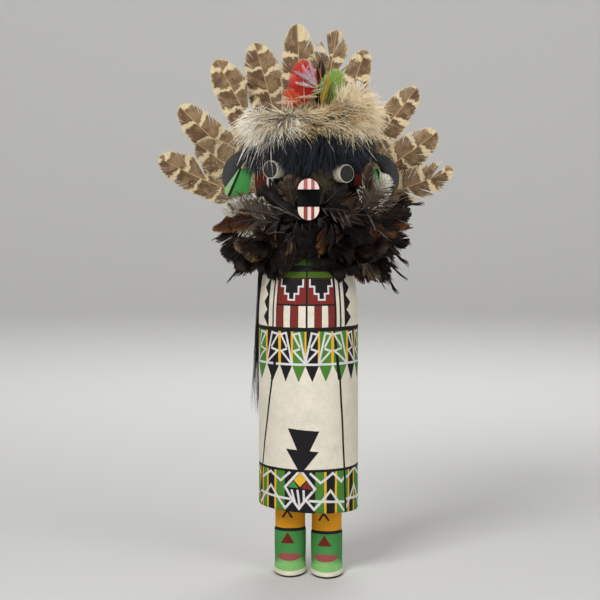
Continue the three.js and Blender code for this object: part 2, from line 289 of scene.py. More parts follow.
BORDER_STRIPES = [
    (-113, -103), (-95.5, -86.5), (-71, -66.5), (-52.6, -42.6), (21.0, 31.8), (54.4, 62.6),
    (88, 97), (104, 113), (-164, -154), (-140, -130), (130, 140), (154, 164),
]
BORDER_LINES = [
    [(-65.6, 72.4), (-48.6, 78.8), (-33.6, 72.4), (-21.2, 79.4)],
    [(1.6, 78.8), (14.0, 71.4), (29.0, 78.2), (41.0, 71.6), (46.0, 75.4)],
    [(-72.4, 60.8), (-21.0, 58.6)], [(0.4, 58.0), (45.8, 56.8)],
    [(-72.0, 51.0), (-48.0, 67.6), (-27.6, 51.2), (-17.6, 58.8)],
    [(-3.4, 58.8), (6.4, 51.6), (26.0, 65.6), (45.4, 50.0)],
]
ROBE_EDGES = [
    [(-45.6, 150), (-55.5, 116), (-66.6, 81.8), (-72.5, 61), (-76.5, 48)],
    [(38.2, 150), (42.0, 118), (45.2, 83), (47.0, 62), (48.2, 48)],
]


def paint_sleeves(sheet):
    """The saw-edged borders of the two sleeves and the upright lines inside them."""
    saw_low, saw_step = 188.8, 10.95
    for side, inner, valley, outer in ((-1, 52.2, 55.6, 62.8), (1, 45.6, 49.2, 57.2)):
        edge = [(side * inner, saw_low - 2), (side * valley, saw_low)]
        for tooth in range(5):
            low = saw_low + tooth * saw_step
            edge += [(side * outer, low + saw_step / 2), (side * valley, low + saw_step)]
        sheet.shape(edge + [(side * inner, saw_low + 5 * saw_step)], BLACK)
    sheet.band(WAIST_LINE[1], 247, BLACK, -45.6, -43.4)
    sheet.band(WAIST_LINE[1], 247, BLACK, 38.3, 40.8)


def paint_breast(sheet):
    """The breast panel: green bars, a stepped cloud on each half and red stripes below."""
    panel_left, panel_right, middle = -39.9, 33.9, -2.1
    sheet.band(WAIST_LINE[1], 250, BLACK, panel_left, panel_right)
    for low, high in ((223.9, 228.3), (233, 237.6), (242.6, 247)):
        sheet.band(low, high, MOSS_GREEN, panel_left + 2, middle - 0.9)
        sheet.band(low, high, MOSS_GREEN, middle + 1.1, panel_right - 2.2)
    for left, right, first_red in ((panel_left + 1.4, middle - 1.1, 0),
                                   (middle + 1.2, panel_right - 2.6, 1)):
        sheet.band(204.6, 223.1, BRICK, left, right)
        centre = (left + right) / 2 + 0.4
        edge = [(centre - reach, level) for reach, level in (
            (13.9, 222.9), (13.9, 217.6), (8.6, 217.6), (8.6, 212.2), (3.7, 212.2), (3.7, 207.8))]
        edge += [(2 * centre - a, z) for a, z in edge[::-1]]
        sheet.shape(edge, BLACK)
        sheet.stroke(edge, 1.3, CHALK)
        stripe = (right - left) / 4.25
        for i in range(4):
            a = left + i * stripe * 1.08
            sheet.band(WAIST_LINE[1], 203.3, BRICK if i % 2 == first_red else GESSO,
                       a, a + stripe * 0.98 if i < 3 else right)


def paint_woven_band(sheet):
    """The broad band below the waist: leaves on blocks of colour, with a pointed fringe."""
    sheet.band(BAND_FOOT, WAIST_LINE[0], CORN_YELLOW)
    for left, right, colour, _ in BAND_BLOCKS:
        sheet.band(BAND_FOOT, WAIST_LINE[0], colour, left, right)
        sheet.shape([(left - 2.2, BAND_FOOT), (right + 2.2, BAND_FOOT),
                     ((left + right) / 2, FRINGE_TIP)], colour)
    sheet.shape([(-41, 187), (-38.2, 187), (-44.4, 147.6), (-48.6, 147.6)], BLACK)
    sheet.shape([(28.6, 187), (31.4, 187), (40.4, 147.8), (35.4, 147.8)], BLACK)
    for left, right, _, lean in BAND_BLOCKS:
        near, far = (right, left) if lean > 0 else (left, right)
        foot, width = near + 1.2 * lean, far - near
        sheet.stroke([(foot, 160.9), (near + width * 0.46, 183.2), (near + width, 182.2),
                      (near + width * 0.4, 172.6)], 1.55, CHALK)
        sheet.stroke([(near + width * 0.38, 171.6), (near + width * 0.95, 169.8),
                      (foot + width * 0.08, 160.9)], 1.55, CHALK)
    for left, right in ((-180, -44.4), (-40.2, 33.4), (37.2, 180)):
        sheet.band(BAND_FOOT - 1.5, BAND_FOOT + 0.2, CHALK, left, right)
    sheet.band(*WAIST_LINE, BLACK)


def paint_border(sheet):
    """The border at the hem: upright stripes, chalk zigzags and a cloud diamond in the middle."""
    sheet.band(*BORDER, LEAF_GREEN)
    for left, right in BORDER_STRIPES:
        sheet.band(*BORDER, CORN_YELLOW, left - 2.8, right + 2.8)
        sheet.band(*BORDER, BLACK, left, right)
    sheet.band(*BORDER, BLACK, -28.2, 7.8)
    for path in BORDER_LINES:
        sheet.stroke(path, 1.8, CHALK)
    for side, start, stop in ((-1, 73, 179), (1, 48.6, 179)):
        step = (stop - start) / 4
        for i in range(4):
            a = start + step * i
            for foot, peak in ((74, 80), (52, 68)):
                sheet.stroke([(side * a, foot), (side * (a + step / 2), peak),
                              (side * (a + step), foot)], 1.8, CHALK)
        sheet.stroke([(side * start, 58.6), (side * stop, 58.6)], 1.8, CHALK)
    sheet.shape([(-9.2, 82.4), (-29.4, 68.2), (-20.2, 58.6), (-10.8, 51.0), (-2.2, 58.6),
                 (8.8, 67.4)], BLACK)
    for a, b in (((-19.6, 66), (-15.6, 56)), ((-12.6, 66), (-10.2, 53)), ((-5.4, 66), (-5.2, 57))):
        sheet.stroke([a, b], 1.6, CHALK)
    sheet.stroke([(-9.2, 81.0), (-27.6, 67.7), (-18.6, 58.4), (-10.8, 51.8), (-3.0, 58.8),
                  (7.4, 67.0)], 1.9, CHALK, closed=True)
    sheet.shape([(-9.0, 79.0), (-17.0, 73.4), (-9.8, 68.2), (-2.2, 73.4)], CORN_YELLOW)
    sheet.shape([(-17.6, 72.8), (-24.6, 67.4), (-11.4, 67.2)], BOOT_GREEN)
    sheet.shape([(-1.8, 72.8), (-8.4, 67.4), (5.0, 66.0)], BRICK)
    sheet.stroke([(-17.4, 73.2), (-9.8, 67.6), (-2.0, 73.2)], 0.8, BLACK)
    sheet.stroke([(-25.4, 67.2), (-9.8, 66.9), (5.6, 65.6)], 0.9, BLACK)
    for line in ROBE_EDGES:
        sheet.stroke(line, 1.9, BLACK)
    sheet.stroke([(-180, 81.9), (-90, 82.2), (-68, 81.6), (-8, 80.4), (45, 80.3), (90, 81.5),
                  (180, 81.9)], 1.9, BLACK)


def robe_sheet():
    sheet = PaintedSheet(-ROUND, ROUND, HEM - ROBE_RADIUS, SHEET_TOP, GESSO,
                         ROBE_RADIUS * math.pi / 180)
    paint_sleeves(sheet)
    paint_breast(sheet)
    paint_woven_band(sheet)
    paint_border(sheet)
    # the double arrowhead on the skirt
    sheet.shape([(-24.0, 112.2), (12.4, 110.0), (0.8, 94.2), (-12.6, 95.4)], BLACK)
    sheet.shape([(-26.4, 96.9), (12.0, 94.6), (-5.8, 80.4), (-11.4, 80.4)], BLACK)
    # the head: black, with a red stroke beside each eye and two white ones under the left
    sheet.band(NECK_TOP + 2, SHEET_TOP, FACE_BLACK)
    sheet.band(NECK_TOP - 12, NECK_TOP + 2, BLACK)
    for left, right, low, high, colour in (
            (-86, -52, 288, 305, OX_BLOOD), (58, 88, 288, 300, OX_BLOOD),
            (-50.5, -47.3, 290, 300, CHALK), (-43.5, -40.0, 290, 300, CHALK)):
        sheet.band(layout_height(low), layout_height(high), colour, left, right)
    for v in (*np.arange(HEM, SHOULDER_TOP, 3.1), HEM - 0.5, HEM - 1.2, HEM - 8, HEM - 20, HEM - 30,
              *np.linspace(NECK_TOP - 8, SHEET_TOP - 1.5, 40)):
        sheet.ring(float(v))
    return sheet.lay(place_on_figure, 120, seed=3)


# The two legs and their boots, below the hem.
LEG_SPREAD = 13.8
LEG_RADIUS = 11.3
BOOT_SHAFT = 11.9
BOOT_TOP = {-1: 31.6, 1: 30.2}
FOOT_FORWARD = {-1: 0, 1: 5}
BOOT_HALF_WIDTH = 12.2
BOOT_HALF_LENGTH = 22.4
BOOT_MIDDLE = -9.4
INSTEP = 21


def boot_reach(turn, z):
    """Distance from the leg's axis to the surface of the leg and boot."""
    a, b, c = BOOT_HALF_WIDTH, BOOT_HALF_LENGTH, -BOOT_MIDDLE
    s, k = math.sin(turn), math.cos(turn)
    square = s * s / (a * a) + k * k / (b * b)
    slope = -2 * k * c / (b * b)
    rest = c * c / (b * b) - 1
    sole = (-slope + math.sqrt(slope * slope - 4 * square * rest)) / (2 * square)
    climb = min(1, max(0, (z - 3) / (INSTEP - 3)))
    share = (1 - climb) ** 1.7
    pinch = 1 - 0.10 * (max(0, k) ** 6) * abs(s)
    tuck = 1 - 0.05 * max(0, 1 - z / 2.2) ** 2
    return (BOOT_SHAFT + (sole * pinch - BOOT_SHAFT) * share) * tuck


def leg_sheet(side):
    around = LEG_RADIUS * math.pi
    top = HEM + 4
    boot_top = BOOT_TOP[side]
    sheet = PaintedSheet(-around, around, -30, top + LEG_RADIUS, OCHRE, LEG_RADIUS * math.pi / 180)
    # the underside and the lowest 1.6 mm of each boot are painted dark, as painted shadow under the
    # white sole band
    sheet.band(-30, 1.6, SOLE_SHADOW_DARK)
    sheet.band(1.6, 4.4, SOLE_WHITE)
    sheet.band(4.4, boot_top, BOOT_GREEN)
    # the toe is painted lighter green in five steps towards its tip, as painted light on the
    # upturned toe
    for step in range(5):
        share = step / 4
        half, rise = 78 - 22 * share, 9.2 - 4.6 * share
        toe = [(a, 4.4 + rise * max(0, math.cos(math.radians(a * 90 / half))) ** 0.8)
               for a in np.linspace(-half, half, 25)]
        tint = [a + (b - a) * (0.25 + 0.75 * share) for a, b in zip(BOOT_GREEN, TOE_LIT_GREEN)]
        sheet.shape(toe, tint)
    lens = [(a, 12.8 + 2.4 * (1 - (a / 46) ** 2) ** 0.8) for a in range(-46, 47, 4)]
    lens += [(a, 12.8 - 2.5 * (1 - (a / 46) ** 2) ** 0.8) for a in range(42, -46, -4)]
    sheet.shape([(a - 5, z) for a, z in lens], DULL_ROSE)
    peak = boot_top - 1.0
    sheet.shape([(-9, peak), (-36, peak - 8.6), (17, peak - 8.6)], OX_BLOOD)
    sheet.band(boot_top - 0.3, boot_top + 2.0, BLACK)
    peak = boot_top + 15.4
    sheet.stroke([(-31, peak - 5.6), (-11, peak), (8, peak - 5.6)], 1.5, BLACK)
    for v in (*np.arange(1, top, 1.7), -10, -20, 0.0, 0.5, top):
        sheet.ring(float(v))

    def place_on_leg(u, v):
        turn = u / LEG_RADIUS
        if v < 0:
            reach = boot_reach(turn, 0) * (1 + v / 30)
            z = 0.0
        elif v > top:
            reach = max(0, LEG_RADIUS - (v - top))
            z = top
        else:
            z = v
            ledge = min(1, max(0, (v - boot_top - 0.2) / 0.8))
            reach = boot_reach(turn, v) * (1 - ledge) + LEG_RADIUS * ledge
        x = side * LEG_SPREAD + math.sin(turn) * reach
        y = -FOOT_FORWARD[side] - math.cos(turn) * reach
        return (AXIS_X + x * MM, AXIS_Y + y * MM, z * MM)

    return sheet.lay(place_on_leg, 60, wobble=0.1, seed=9 + side)


def node_of(tree, kind, inputs=None, **settings):
    """A node with its settings; inputs maps a socket's name or number to a value or a socket."""
    made = tree.nodes.new(kind)
    for key, value in settings.items():
        setattr(made, key, value)
    for key, value in (inputs or {}).items():
        value = value.socket if isinstance(value, Reckoned) else value
        if isinstance(value, bpy.types.NodeSocket):
            tree.links.new(value, made.inputs[key])
        else:
            made.inputs[key].default_value = value
    return made


class Reckoned:
    """A value in a node tree, worked on with plain arithmetic."""

    def __init__(self, tree, socket):
        self.tree, self.socket = tree, socket

    def worked(self, operation, *values):
        return reckoned(self.tree, "ShaderNodeMath", dict(enumerate(values)), operation=operation)

    def __abs__(self):
        return self.worked("ABSOLUTE", self)


for sign, operation in (("add", "ADD"), ("sub", "SUBTRACT"), ("mul", "MULTIPLY"),
                        ("truediv", "DIVIDE"), ("pow", "POWER")):
    setattr(Reckoned, f"__{sign}__", lambda self, other, operation=operation:
            self.worked(operation, self, other))
    setattr(Reckoned, f"__r{sign}__", lambda self, other, operation=operation:
            self.worked(operation, other, self))


def reckoned(tree, kind, inputs=None, output=0, **settings):
    """What a node gives, ready for arithmetic."""
    return Reckoned(tree, node_of(tree, kind, inputs, **settings).outputs[output])


def new_material(name, sockets):
    """A material, its tree and its shader, with the shader's own sockets set."""
    material = bpy.data.materials.new(name)
    material.use_nodes = True
    shader = material.node_tree.nodes["Principled BSDF"]
    for label, value in sockets.items():
        shader.inputs[label].default_value = value
    return material, material.node_tree, shader


def grain(tree, scale, detail, roughness=0.5):
    """Fine unevenness that stays with the piece, from 0 to 1."""
    return reckoned(tree, "ShaderNodeTexNoise", {
        "Vector": reckoned(tree, "ShaderNodeTexCoord", output="Object"),
        "Scale": scale, "Detail": detail, "Roughness": roughness})


def ranged(tree, value, low, high, start=0.0, stop=1.0, ease="LINEAR"):
    """Low where the value is at start, high where it is at stop."""
    return reckoned(tree, "ShaderNodeMapRange", {
        "Value": value, "From Min": start, "From Max": stop, "To Min": low, "To Max": high},
        interpolation_type=ease)


def finish_shader(tree, shader, colour, shade, height, strength, depth, rough=None):
    """Colour times shade, a roughness where one is given, and ridges depth metres high."""
    tint = reckoned(tree, "ShaderNodeVectorMath", {0: colour, "Scale": shade}, operation="SCALE")
    ridges = reckoned(tree, "ShaderNodeBump", {
        "Height": height, "Strength": strength, "Distance": depth})
    for label, value in (("Base Color", tint), ("Roughness", rough), ("Normal", ridges)):
        if value:
            tree.links.new(value.socket, shader.inputs[label])
    return tint


def earth_paint():
    """Matt mineral paint brushed over gesso on wood: faint mottling and fine pits, with roughness
    that follows the mottling.
    """
    material, tree, shader = new_material("earth paint", {"Specular IOR Level": 0.2})
    mottle, speck = grain(tree, 90, 5, 0.6), grain(tree, 900, 3)
    shade = ranged(tree, mottle, 0.90, 1.07, 0.3, 0.7) * ranged(tree, speck, 0.93, 1.05, 0.3, 0.7)
    paint = reckoned(tree, "ShaderNodeAttribute", output="Color", attribute_name="paint")
    finish_shader(tree, shader, paint, shade, speck, 0.35, 0.00012,
                  ranged(tree, mottle, 0.62, 0.86))
    return material


EARTH_PAINT = earth_paint()
carving = closed_mesh("carved_figure", [robe_sheet(), leg_sheet(-1), leg_sheet(1)])
carving.data.materials.append(EARTH_PAINT)
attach(carving, "root")
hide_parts("figure")


# ---- Snout ----
# A whittled block with a mouth sawn across it, pegged and glued to the face. Both lips are
# painted with upright stripes, white and red; the mouth and the sides are black.

LIP_WHITE = pigment("e9d6cd")
LIP_ROSE = pigment("b06468")
LIP_RED = pigment("8e443c")
MOUTH_HEIGHT = 12.6 * MM
MOUTH_DEPTH = 22 * MM
MOUTH_RISE = 0.9 * MM
LIP_STRIPES = (-0.44, -0.07, 0.24, 0.52)
LIP_EDGE = 0.6 * MM

snout_low, snout_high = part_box("snout")
snout_middle = (snout_low + snout_high) / 2
snout_half_width = (snout_high.x - snout_low.x) / 2
snout_straight = (snout_high.z - snout_low.z) / 2 - snout_half_width


def snout_outline(shrink):
    """Points round the snout's end face, a slot shape, kept in by shrink."""
    reach = snout_half_width - shrink
    outline = []
    for i in range(56):
        turn = 2 * math.pi * (i + 0.5) / 56
        x, z = math.cos(turn) * reach, math.sin(turn) * reach
        z += math.copysign(snout_straight, z)
        outline.append((snout_middle.x + x, snout_middle.z + z))
    return outline


def box_mesh(low, high):
    corners = [(x, y, z) for x in (low[0], high[0]) for y in (low[1], high[1])
               for z in (low[2], high[2])]
    faces = [(0, 1, 3, 2), (4, 6, 7, 5), (0, 4, 5, 1), (2, 3, 7, 6), (0, 2, 6, 4), (1, 5, 7, 3)]
    mesh = bpy.data.meshes.new("cutter")
    mesh.from_pydata(corners, [], faces)
    mesh.validate()
    return placed("cutter", mesh)


def applied(piece):
    """The piece's mesh with its modifiers worked in, and the modifiers taken off."""
    bpy.context.view_layer.update()
    done = bpy.data.meshes.new_from_object(
        piece.evaluated_get(bpy.context.evaluated_depsgraph_get()))
    piece.modifiers.clear()
    piece.data = done
    return done


def whittled_snout():
    rows = [(0.0, snout_high.y), (0.0, snout_low.y + 1.1 * MM), (0.25 * MM, snout_low.y + 0.3 * MM),
            (LIP_EDGE, snout_low.y)]
    build = bmesh.new()
    rings = [[build.verts.new((x, y, z)) for x, z in snout_outline(shrink)] for shrink, y in rows]
    for ring, following in zip(rings, rings[1:]):
        for i in range(len(ring)):
            j = (i + 1) % len(ring)
            build.faces.new((ring[i], ring[j], following[j], following[i]))
    build.faces.new(rings[0])
    build.faces.new(rings[-1])
    bmesh.ops.recalc_face_normals(build, faces=build.faces)
    mesh = bpy.data.meshes.new("snout")
    build.to_mesh(mesh)
    build.free()
    piece = placed("painted_snout", mesh)
    mouth = snout_middle.z + MOUTH_RISE
    cutter = box_mesh((snout_low.x - 0.01, snout_low.y - 0.01, mouth - MOUTH_HEIGHT / 2),
                      (snout_high.x + 0.01, snout_low.y + MOUTH_DEPTH, mouth + MOUTH_HEIGHT / 2))
    cut = piece.modifiers.new("mouth", "BOOLEAN")
    cut.object = cutter
    cut.solver = "EXACT"
    applied(piece)
    bpy.data.objects.remove(cutter)
    build = bmesh.new()
    build.from_mesh(piece.data)
    for share in LIP_STRIPES:
        for slip in (-0.012, 0.012):
            place = (snout_middle.x + (share + slip) * snout_half_width, 0, 0)
            bmesh.ops.bisect_plane(build, geom=build.verts[:] + build.edges[:] + build.faces[:],
                                   plane_co=place, plane_no=(1, 0, 0))
    paint = build.loops.layers.float_color.new("paint")
    for face in build.faces:
        middle = face.calc_center_median()
        tint = FACE_BLACK
        if face.normal.y < -0.9 and middle.y < snout_low.y + 0.6 * MM:
            share = (middle.x - snout_middle.x) / snout_half_width
            red = LIP_ROSE if middle.z > snout_middle.z else LIP_RED
            tint = red if sum(share > s for s in LIP_STRIPES) % 2 else LIP_WHITE
        for loop in face.loops:
            loop[paint] = tint
        face.smooth = abs(face.normal.y) < 0.9 and abs(face.normal.z) < 0.98
    build.to_mesh(piece.data)
    build.free()
    return piece


snout = whittled_snout()
snout.data.materials.clear()
snout.data.materials.append(EARTH_PAINT)
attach(snout, "root")
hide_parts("snout")


# ---- Eyes ----
# Two short dowels pegged into the face and turned outward. The sides and rim are white, the
# flat ends dark grey.

EYE_WHITE = pigment("cfc8b6")
PUPIL_GREY = pigment("2f312f")
EYE_ROOT = 28
EYE_RIM = 0.90


def peg_eye(node):
    low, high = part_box(node)
    middle = (low + high) / 2
    outward = Vector((middle.x - AXIS_X, middle.y - AXIS_Y, 0)).normalized()
    sideways = Vector((0, 0, 1)).cross(outward)
    shape = [Vector(v.co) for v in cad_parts[node].data.vertices]
    reach = max((p - Vector((AXIS_X, AXIS_Y, 0))).dot(outward) for p in shape)
    radius = (high.z - low.z) / 2
    rows = [(EYE_ROOT * MM, radius * 0.97, EYE_WHITE), (reach - 1.0 * MM, radius, EYE_WHITE),
            (reach - 0.3 * MM, radius * 0.985, EYE_WHITE), (reach, radius * 0.93, EYE_WHITE),
            (reach + 0.02 * MM, radius * EYE_RIM, EYE_WHITE),
            (reach - 0.02 * MM, radius * (EYE_RIM - 0.02), BLACK),
            (reach + 0.02 * MM, radius * 0.78, BLACK),
            (reach + 0.12 * MM, radius * 0.5, PUPIL_GREY), (reach + 0.15 * MM, 0, PUPIL_GREY)]
    start = Vector((AXIS_X, AXIS_Y, middle.z))
    corners, faces, tints = [], [], []
    sides = 44
    for row, (along, wide, _) in enumerate(rows):
        for i in range(sides):
            turn = 2 * math.pi * i / sides
            uneven = 1 + 0.02 * noise.noise(Vector((math.cos(turn), math.sin(turn), middle.x * 90)))
            spot = start + outward * along
            spot += (sideways * math.cos(turn) + Vector((0, 0, 1)) * math.sin(turn)) * wide * uneven
            corners.append(tuple(spot))
        if row:
            for i in range(sides):
                j = (i + 1) % sides
                a, b = (row - 1) * sides, row * sides
                faces.append([a + i, a + j, b + j, b + i])
                tints.append(rows[row][2])
    corners.append(tuple(start + outward * EYE_ROOT * MM))
    for i in range(sides):
        faces.append([len(corners) - 1, (i + 1) % sides, i])
        tints.append(EYE_WHITE)
    eye = closed_mesh("peg_" + node, [(corners, faces, tints)])
    eye.data.materials.append(EARTH_PAINT)
    eye.data.set_sharp_from_angle(angle=math.radians(38))
    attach(eye, "root")
    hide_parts(node)


peg_eye("eye_left")
peg_eye("eye_right")


# ---- Horns ----
# Two crescents sawn from board and rounded with a knife, glued to the sides of the head behind
# the ears. They are rubbed with soot-black paint that has dried dull and grainy.

HORN_BLACK = pigment("454446")
GRIT_BLACKS = pigment("2c2b2e"), pigment("575557")
HORN_RADIUS = 21.4
HORN_WIDTH = 12.8
HORN_THICKNESS = 8.5
HORN_HALF_SPAN = math.radians(102.5)


def horn_paint():
    """Soot paint: nearly flat dark grey with a fine gritty tooth and worn paler spots."""
    material, tree, shader = new_material("soot paint", {
        "Specular IOR Level": 0.3, "Roughness": 0.82})
    grit = grain(tree, 1100, 4, 0.7)
    ramp = node_of(tree, "ShaderNodeValToRGB", {0: grit})
    for stop, position, colour in zip(ramp.color_ramp.elements, (0.3, 0.72), GRIT_BLACKS):
        stop.position, stop.color = position, colour
    finish_shader(tree, shader, ramp.outputs[0], 1.0, grit, 0.7, 0.0002)
    return material


HORN_PAINT = horn_paint()


def carved_horn(node, side):
    low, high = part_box(node)
    centre_x = low.x + HORN_RADIUS * MM if side < 0 else high.x - HORN_RADIUS * MM
    centre_z = high.z - HORN_RADIUS * MM
    centre_y = (low.y + high.y) / 2
    spine = HORN_RADIUS - HORN_WIDTH / 2
    corners, faces, tints = [], [], []
    rows, sides = 60, 20
    for row in range(rows + 1):
        t = row / rows
        turn = (2 * t - 1) * HORN_HALF_SPAN
        swell = max(0.02, math.sin(math.pi * t)) ** 0.62
        wide = HORN_WIDTH / 2 * swell
        thick = HORN_THICKNESS / 2 * swell ** 0.8
        arm = spine + (HORN_WIDTH / 2 - wide) * 0.55
        for i in range(sides):
            around = 2 * math.pi * i / sides
            c, s = math.cos(around), math.sin(around)
            across = math.copysign(abs(c) ** 0.8, c) * wide
            depth = math.copysign(abs(s) ** 0.8, s) * thick
            uneven = 0.22 * noise.noise(Vector((turn * 3, around, side * 5)))
            reach = (arm + across + uneven) * MM
            corners.append((centre_x + side * math.cos(turn) * reach,
                            centre_y + depth * MM, centre_z + math.sin(turn) * reach))
        if row:
            for i in range(sides):
                j = (i + 1) % sides
                a, b = (row - 1) * sides, row * sides
                faces.append([a + i, a + j, b + j, b + i])
                tints.append(HORN_BLACK)
    faces.append(list(range(sides)))
    faces.append(list(range(rows * sides, (rows + 1) * sides)))
    tints += [HORN_BLACK] * 2
    horn = closed_mesh("crescent_" + node, [(corners, faces, tints)])
    build = bmesh.new()
    build.from_mesh(horn.data)
    bmesh.ops.recalc_face_normals(build, faces=build.faces)
    build.to_mesh(horn.data)
    build.free()
    horn.data.materials.append(HORN_PAINT)
    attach(horn, "root")
    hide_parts(node)


carved_horn("horn_left", -1)
carved_horn("horn_right", 1)


# ---- Ears ----
# Thin shaved slips of wood glued to the cheeks, painted green. A dark line parts a pale strip
# from the outer edge, and the inner edge is touched with white.

EAR_GREEN = pigment("4a9a4c")
EAR_PALE = pigment("96c48a")
EAR_LINE = pigment("1d2b22")
EAR_CHALK = pigment("dedfcb")
EAR_TOP_WIDTH = 0.50
EAR_FOOT = ((1.0, 0.31), (0.985, 0.16), (0.82, 0.045), (0.62, 0.0), (0.2, -0.02))


def slip_ear(node, side):
    low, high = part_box(node)
    wide, tall = high.x - low.x, high.z - low.z
    inner = high.x if side < 0 else low.x
    front = low.y - 0.2 * MM

    outline = [(0.0, 1.0), (EAR_TOP_WIDTH, 0.96), *EAR_FOOT]
    sheet = PaintedSheet(-2, 102, -4, 104, EAR_GREEN, 1)
    sheet.shape([(EAR_TOP_WIDTH * 100 - 14, 104), (104, 104), (104, -4), (84, -4)], EAR_LINE)
    sheet.shape([(EAR_TOP_WIDTH * 100 - 5, 104), (104, 104), (104, -4), (96, -4)], EAR_PALE)
    sheet.shape([(-2, 104), (1, 104), (4, 80), (5, 50), (12, 28), (21, -4), (-2, -4)], EAR_CHALK)
    sheet.shape([(-2, 104), (0, 104), (2, 80), (2.5, 60), (-2, 58)], EAR_GREEN)
    loop = [(a * 100, b * 100) for a, b in outline]
    steps = []
    for (ax, ay), (bx, by) in zip(loop, loop[1:] + loop[:1]):
        for k in range(8):
            steps.append((ax + (bx - ax) * k / 8, ay + (by - ay) * k / 8))
    points = [Vector(p) for p in sheet.points + anticlockwise(steps)]
    loops = sheet.loops + [list(range(len(sheet.points), len(points)))]
    flat, _, cut, _, _, sources = delaunay_2d_cdt(points, [], loops, 1, 1e-5, True)
    build = bmesh.new()
    paint = build.loops.layers.float_color.new("paint")
    inside = [(face, source) for face, source in zip(cut, sources) if len(loops) - 1 in source]
    made = {}
    for layer, y in ((0, front), (1, high.y)):
        for face, _ in inside:
            for i in face:
                if (i, layer) not in made:
                    x = inner + side * flat[i].x / 100 * wide
                    z = low.z + flat[i].y / 100 * tall
                    bulge = 0.25 * MM * noise.noise(Vector((x * 120, z * 120, side)))
                    made[(i, layer)] = build.verts.new((x, y + bulge, z))
    edges = {}
    for face, source in inside:
        shown = max(s for s in source if s < len(loops) - 1)
        for layer in (0, 1):
            tint = sheet.colours[shown] if layer == 0 else EAR_GREEN
            order = face if layer == 0 else face[::-1]
            skin = build.faces.new([made[(i, layer)] for i in order])
            for loop_corner in skin.loops:
                loop_corner[paint] = tint
        for a, b in zip(face, face[1:] + face[:1]):
            edges[(a, b)] = sheet.colours[shown]
    for (a, b), tint in edges.items():
        if (b, a) not in edges:
            wall = build.faces.new([made[(a, 0)], made[(a, 1)], made[(b, 1)], made[(b, 0)]])
            for loop_corner in wall.loops:
                loop_corner[paint] = tint
    bmesh.ops.recalc_face_normals(build, faces=build.faces)
    mesh = bpy.data.meshes.new("slip_" + node)
    build.to_mesh(mesh)
    build.free()
    ear = placed("slip_" + node, mesh)
    mesh.materials.append(EARTH_PAINT)
    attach(ear, "root")
    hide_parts(node)


slip_ear("ear_left", -1)
slip_ear("ear_right", 1)


# ---- Fan of barred feathers ----
# Eleven brown wing and tail feathers with cream bars, their quills bound together behind the
# head so that the vanes spread like a rising sun. The barbs have split and frayed with handling.

VANE_BROWN = pigment("775a3e")
# the paler brown of the mottling, laid more on the upper half of each vane as painted light from
# above
VANE_PALE_AND_LIT = pigment("a88b66")
VANE_DARK = pigment("4f3a28")
VANE_CREAM = pigment("efdcb2")
QUILL_CREAM = pigment("d8b484")


def new_tree(name, inputs):
    """A tree with the given inputs, a way to take one by its label, and the tree's output."""
    tree = bpy.data.node_groups.new(name, "GeometryNodeTree")
    face = tree.interface
    for label, kind in [("Geometry", "Geometry"), *inputs]:
        face.new_socket(label, in_out="INPUT", socket_type="NodeSocket" + kind)
    face.new_socket("Geometry", in_out="OUTPUT", socket_type="NodeSocketGeometry")
    given, out = tree.nodes.new("NodeGroupInput"), tree.nodes.new("NodeGroupOutput")
    return tree, lambda label: Reckoned(tree, given.outputs[label]), out.inputs[0]


def named(tree, name, kind="FLOAT"):
    """What the points carry under a name."""
    return reckoned(tree, "GeometryNodeInputNamedAttribute", {"Name": name}, data_type=kind)


def stored(tree, geometry, name, value, kind="FLOAT", domain="POINT"):
    return reckoned(tree, "GeometryNodeStoreNamedAttribute", {
        "Geometry": geometry, "Name": name, "Value": value}, data_type=kind, domain=domain)


def rod_along(tree, spine, sides, radius, thinning, capped=False):
    """A rod along a curve, as much thinner than radius as thinning says."""
    spine = reckoned(tree, "GeometryNodeSetCurveRadius", {"Curve": spine, "Radius": thinning})
    profile = reckoned(tree, "GeometryNodeCurvePrimitiveCircle", {
        "Resolution": sides, "Radius": radius})
    rod = node_of(tree, "GeometryNodeCurveToMesh", {
        "Curve": spine, "Profile Curve": profile, "Fill Caps": capped})
    if "Scale" in rod.inputs:
        tree.links.new(thinning.socket, rod.inputs["Scale"])
    return rod.outputs[0]


def grown(piece, tree, values):
    """The plain mesh that the tree makes of the piece with the given input values."""
    grower = piece.modifiers.new(tree.name, "NODES")
    grower.node_group = tree
    sockets = {item.name: item.identifier for item in tree.interface.items_tree
               if item.in_out == "INPUT"}
    for label, value in values.items():
        grower[sockets[label]] = value
    return applied(piece)


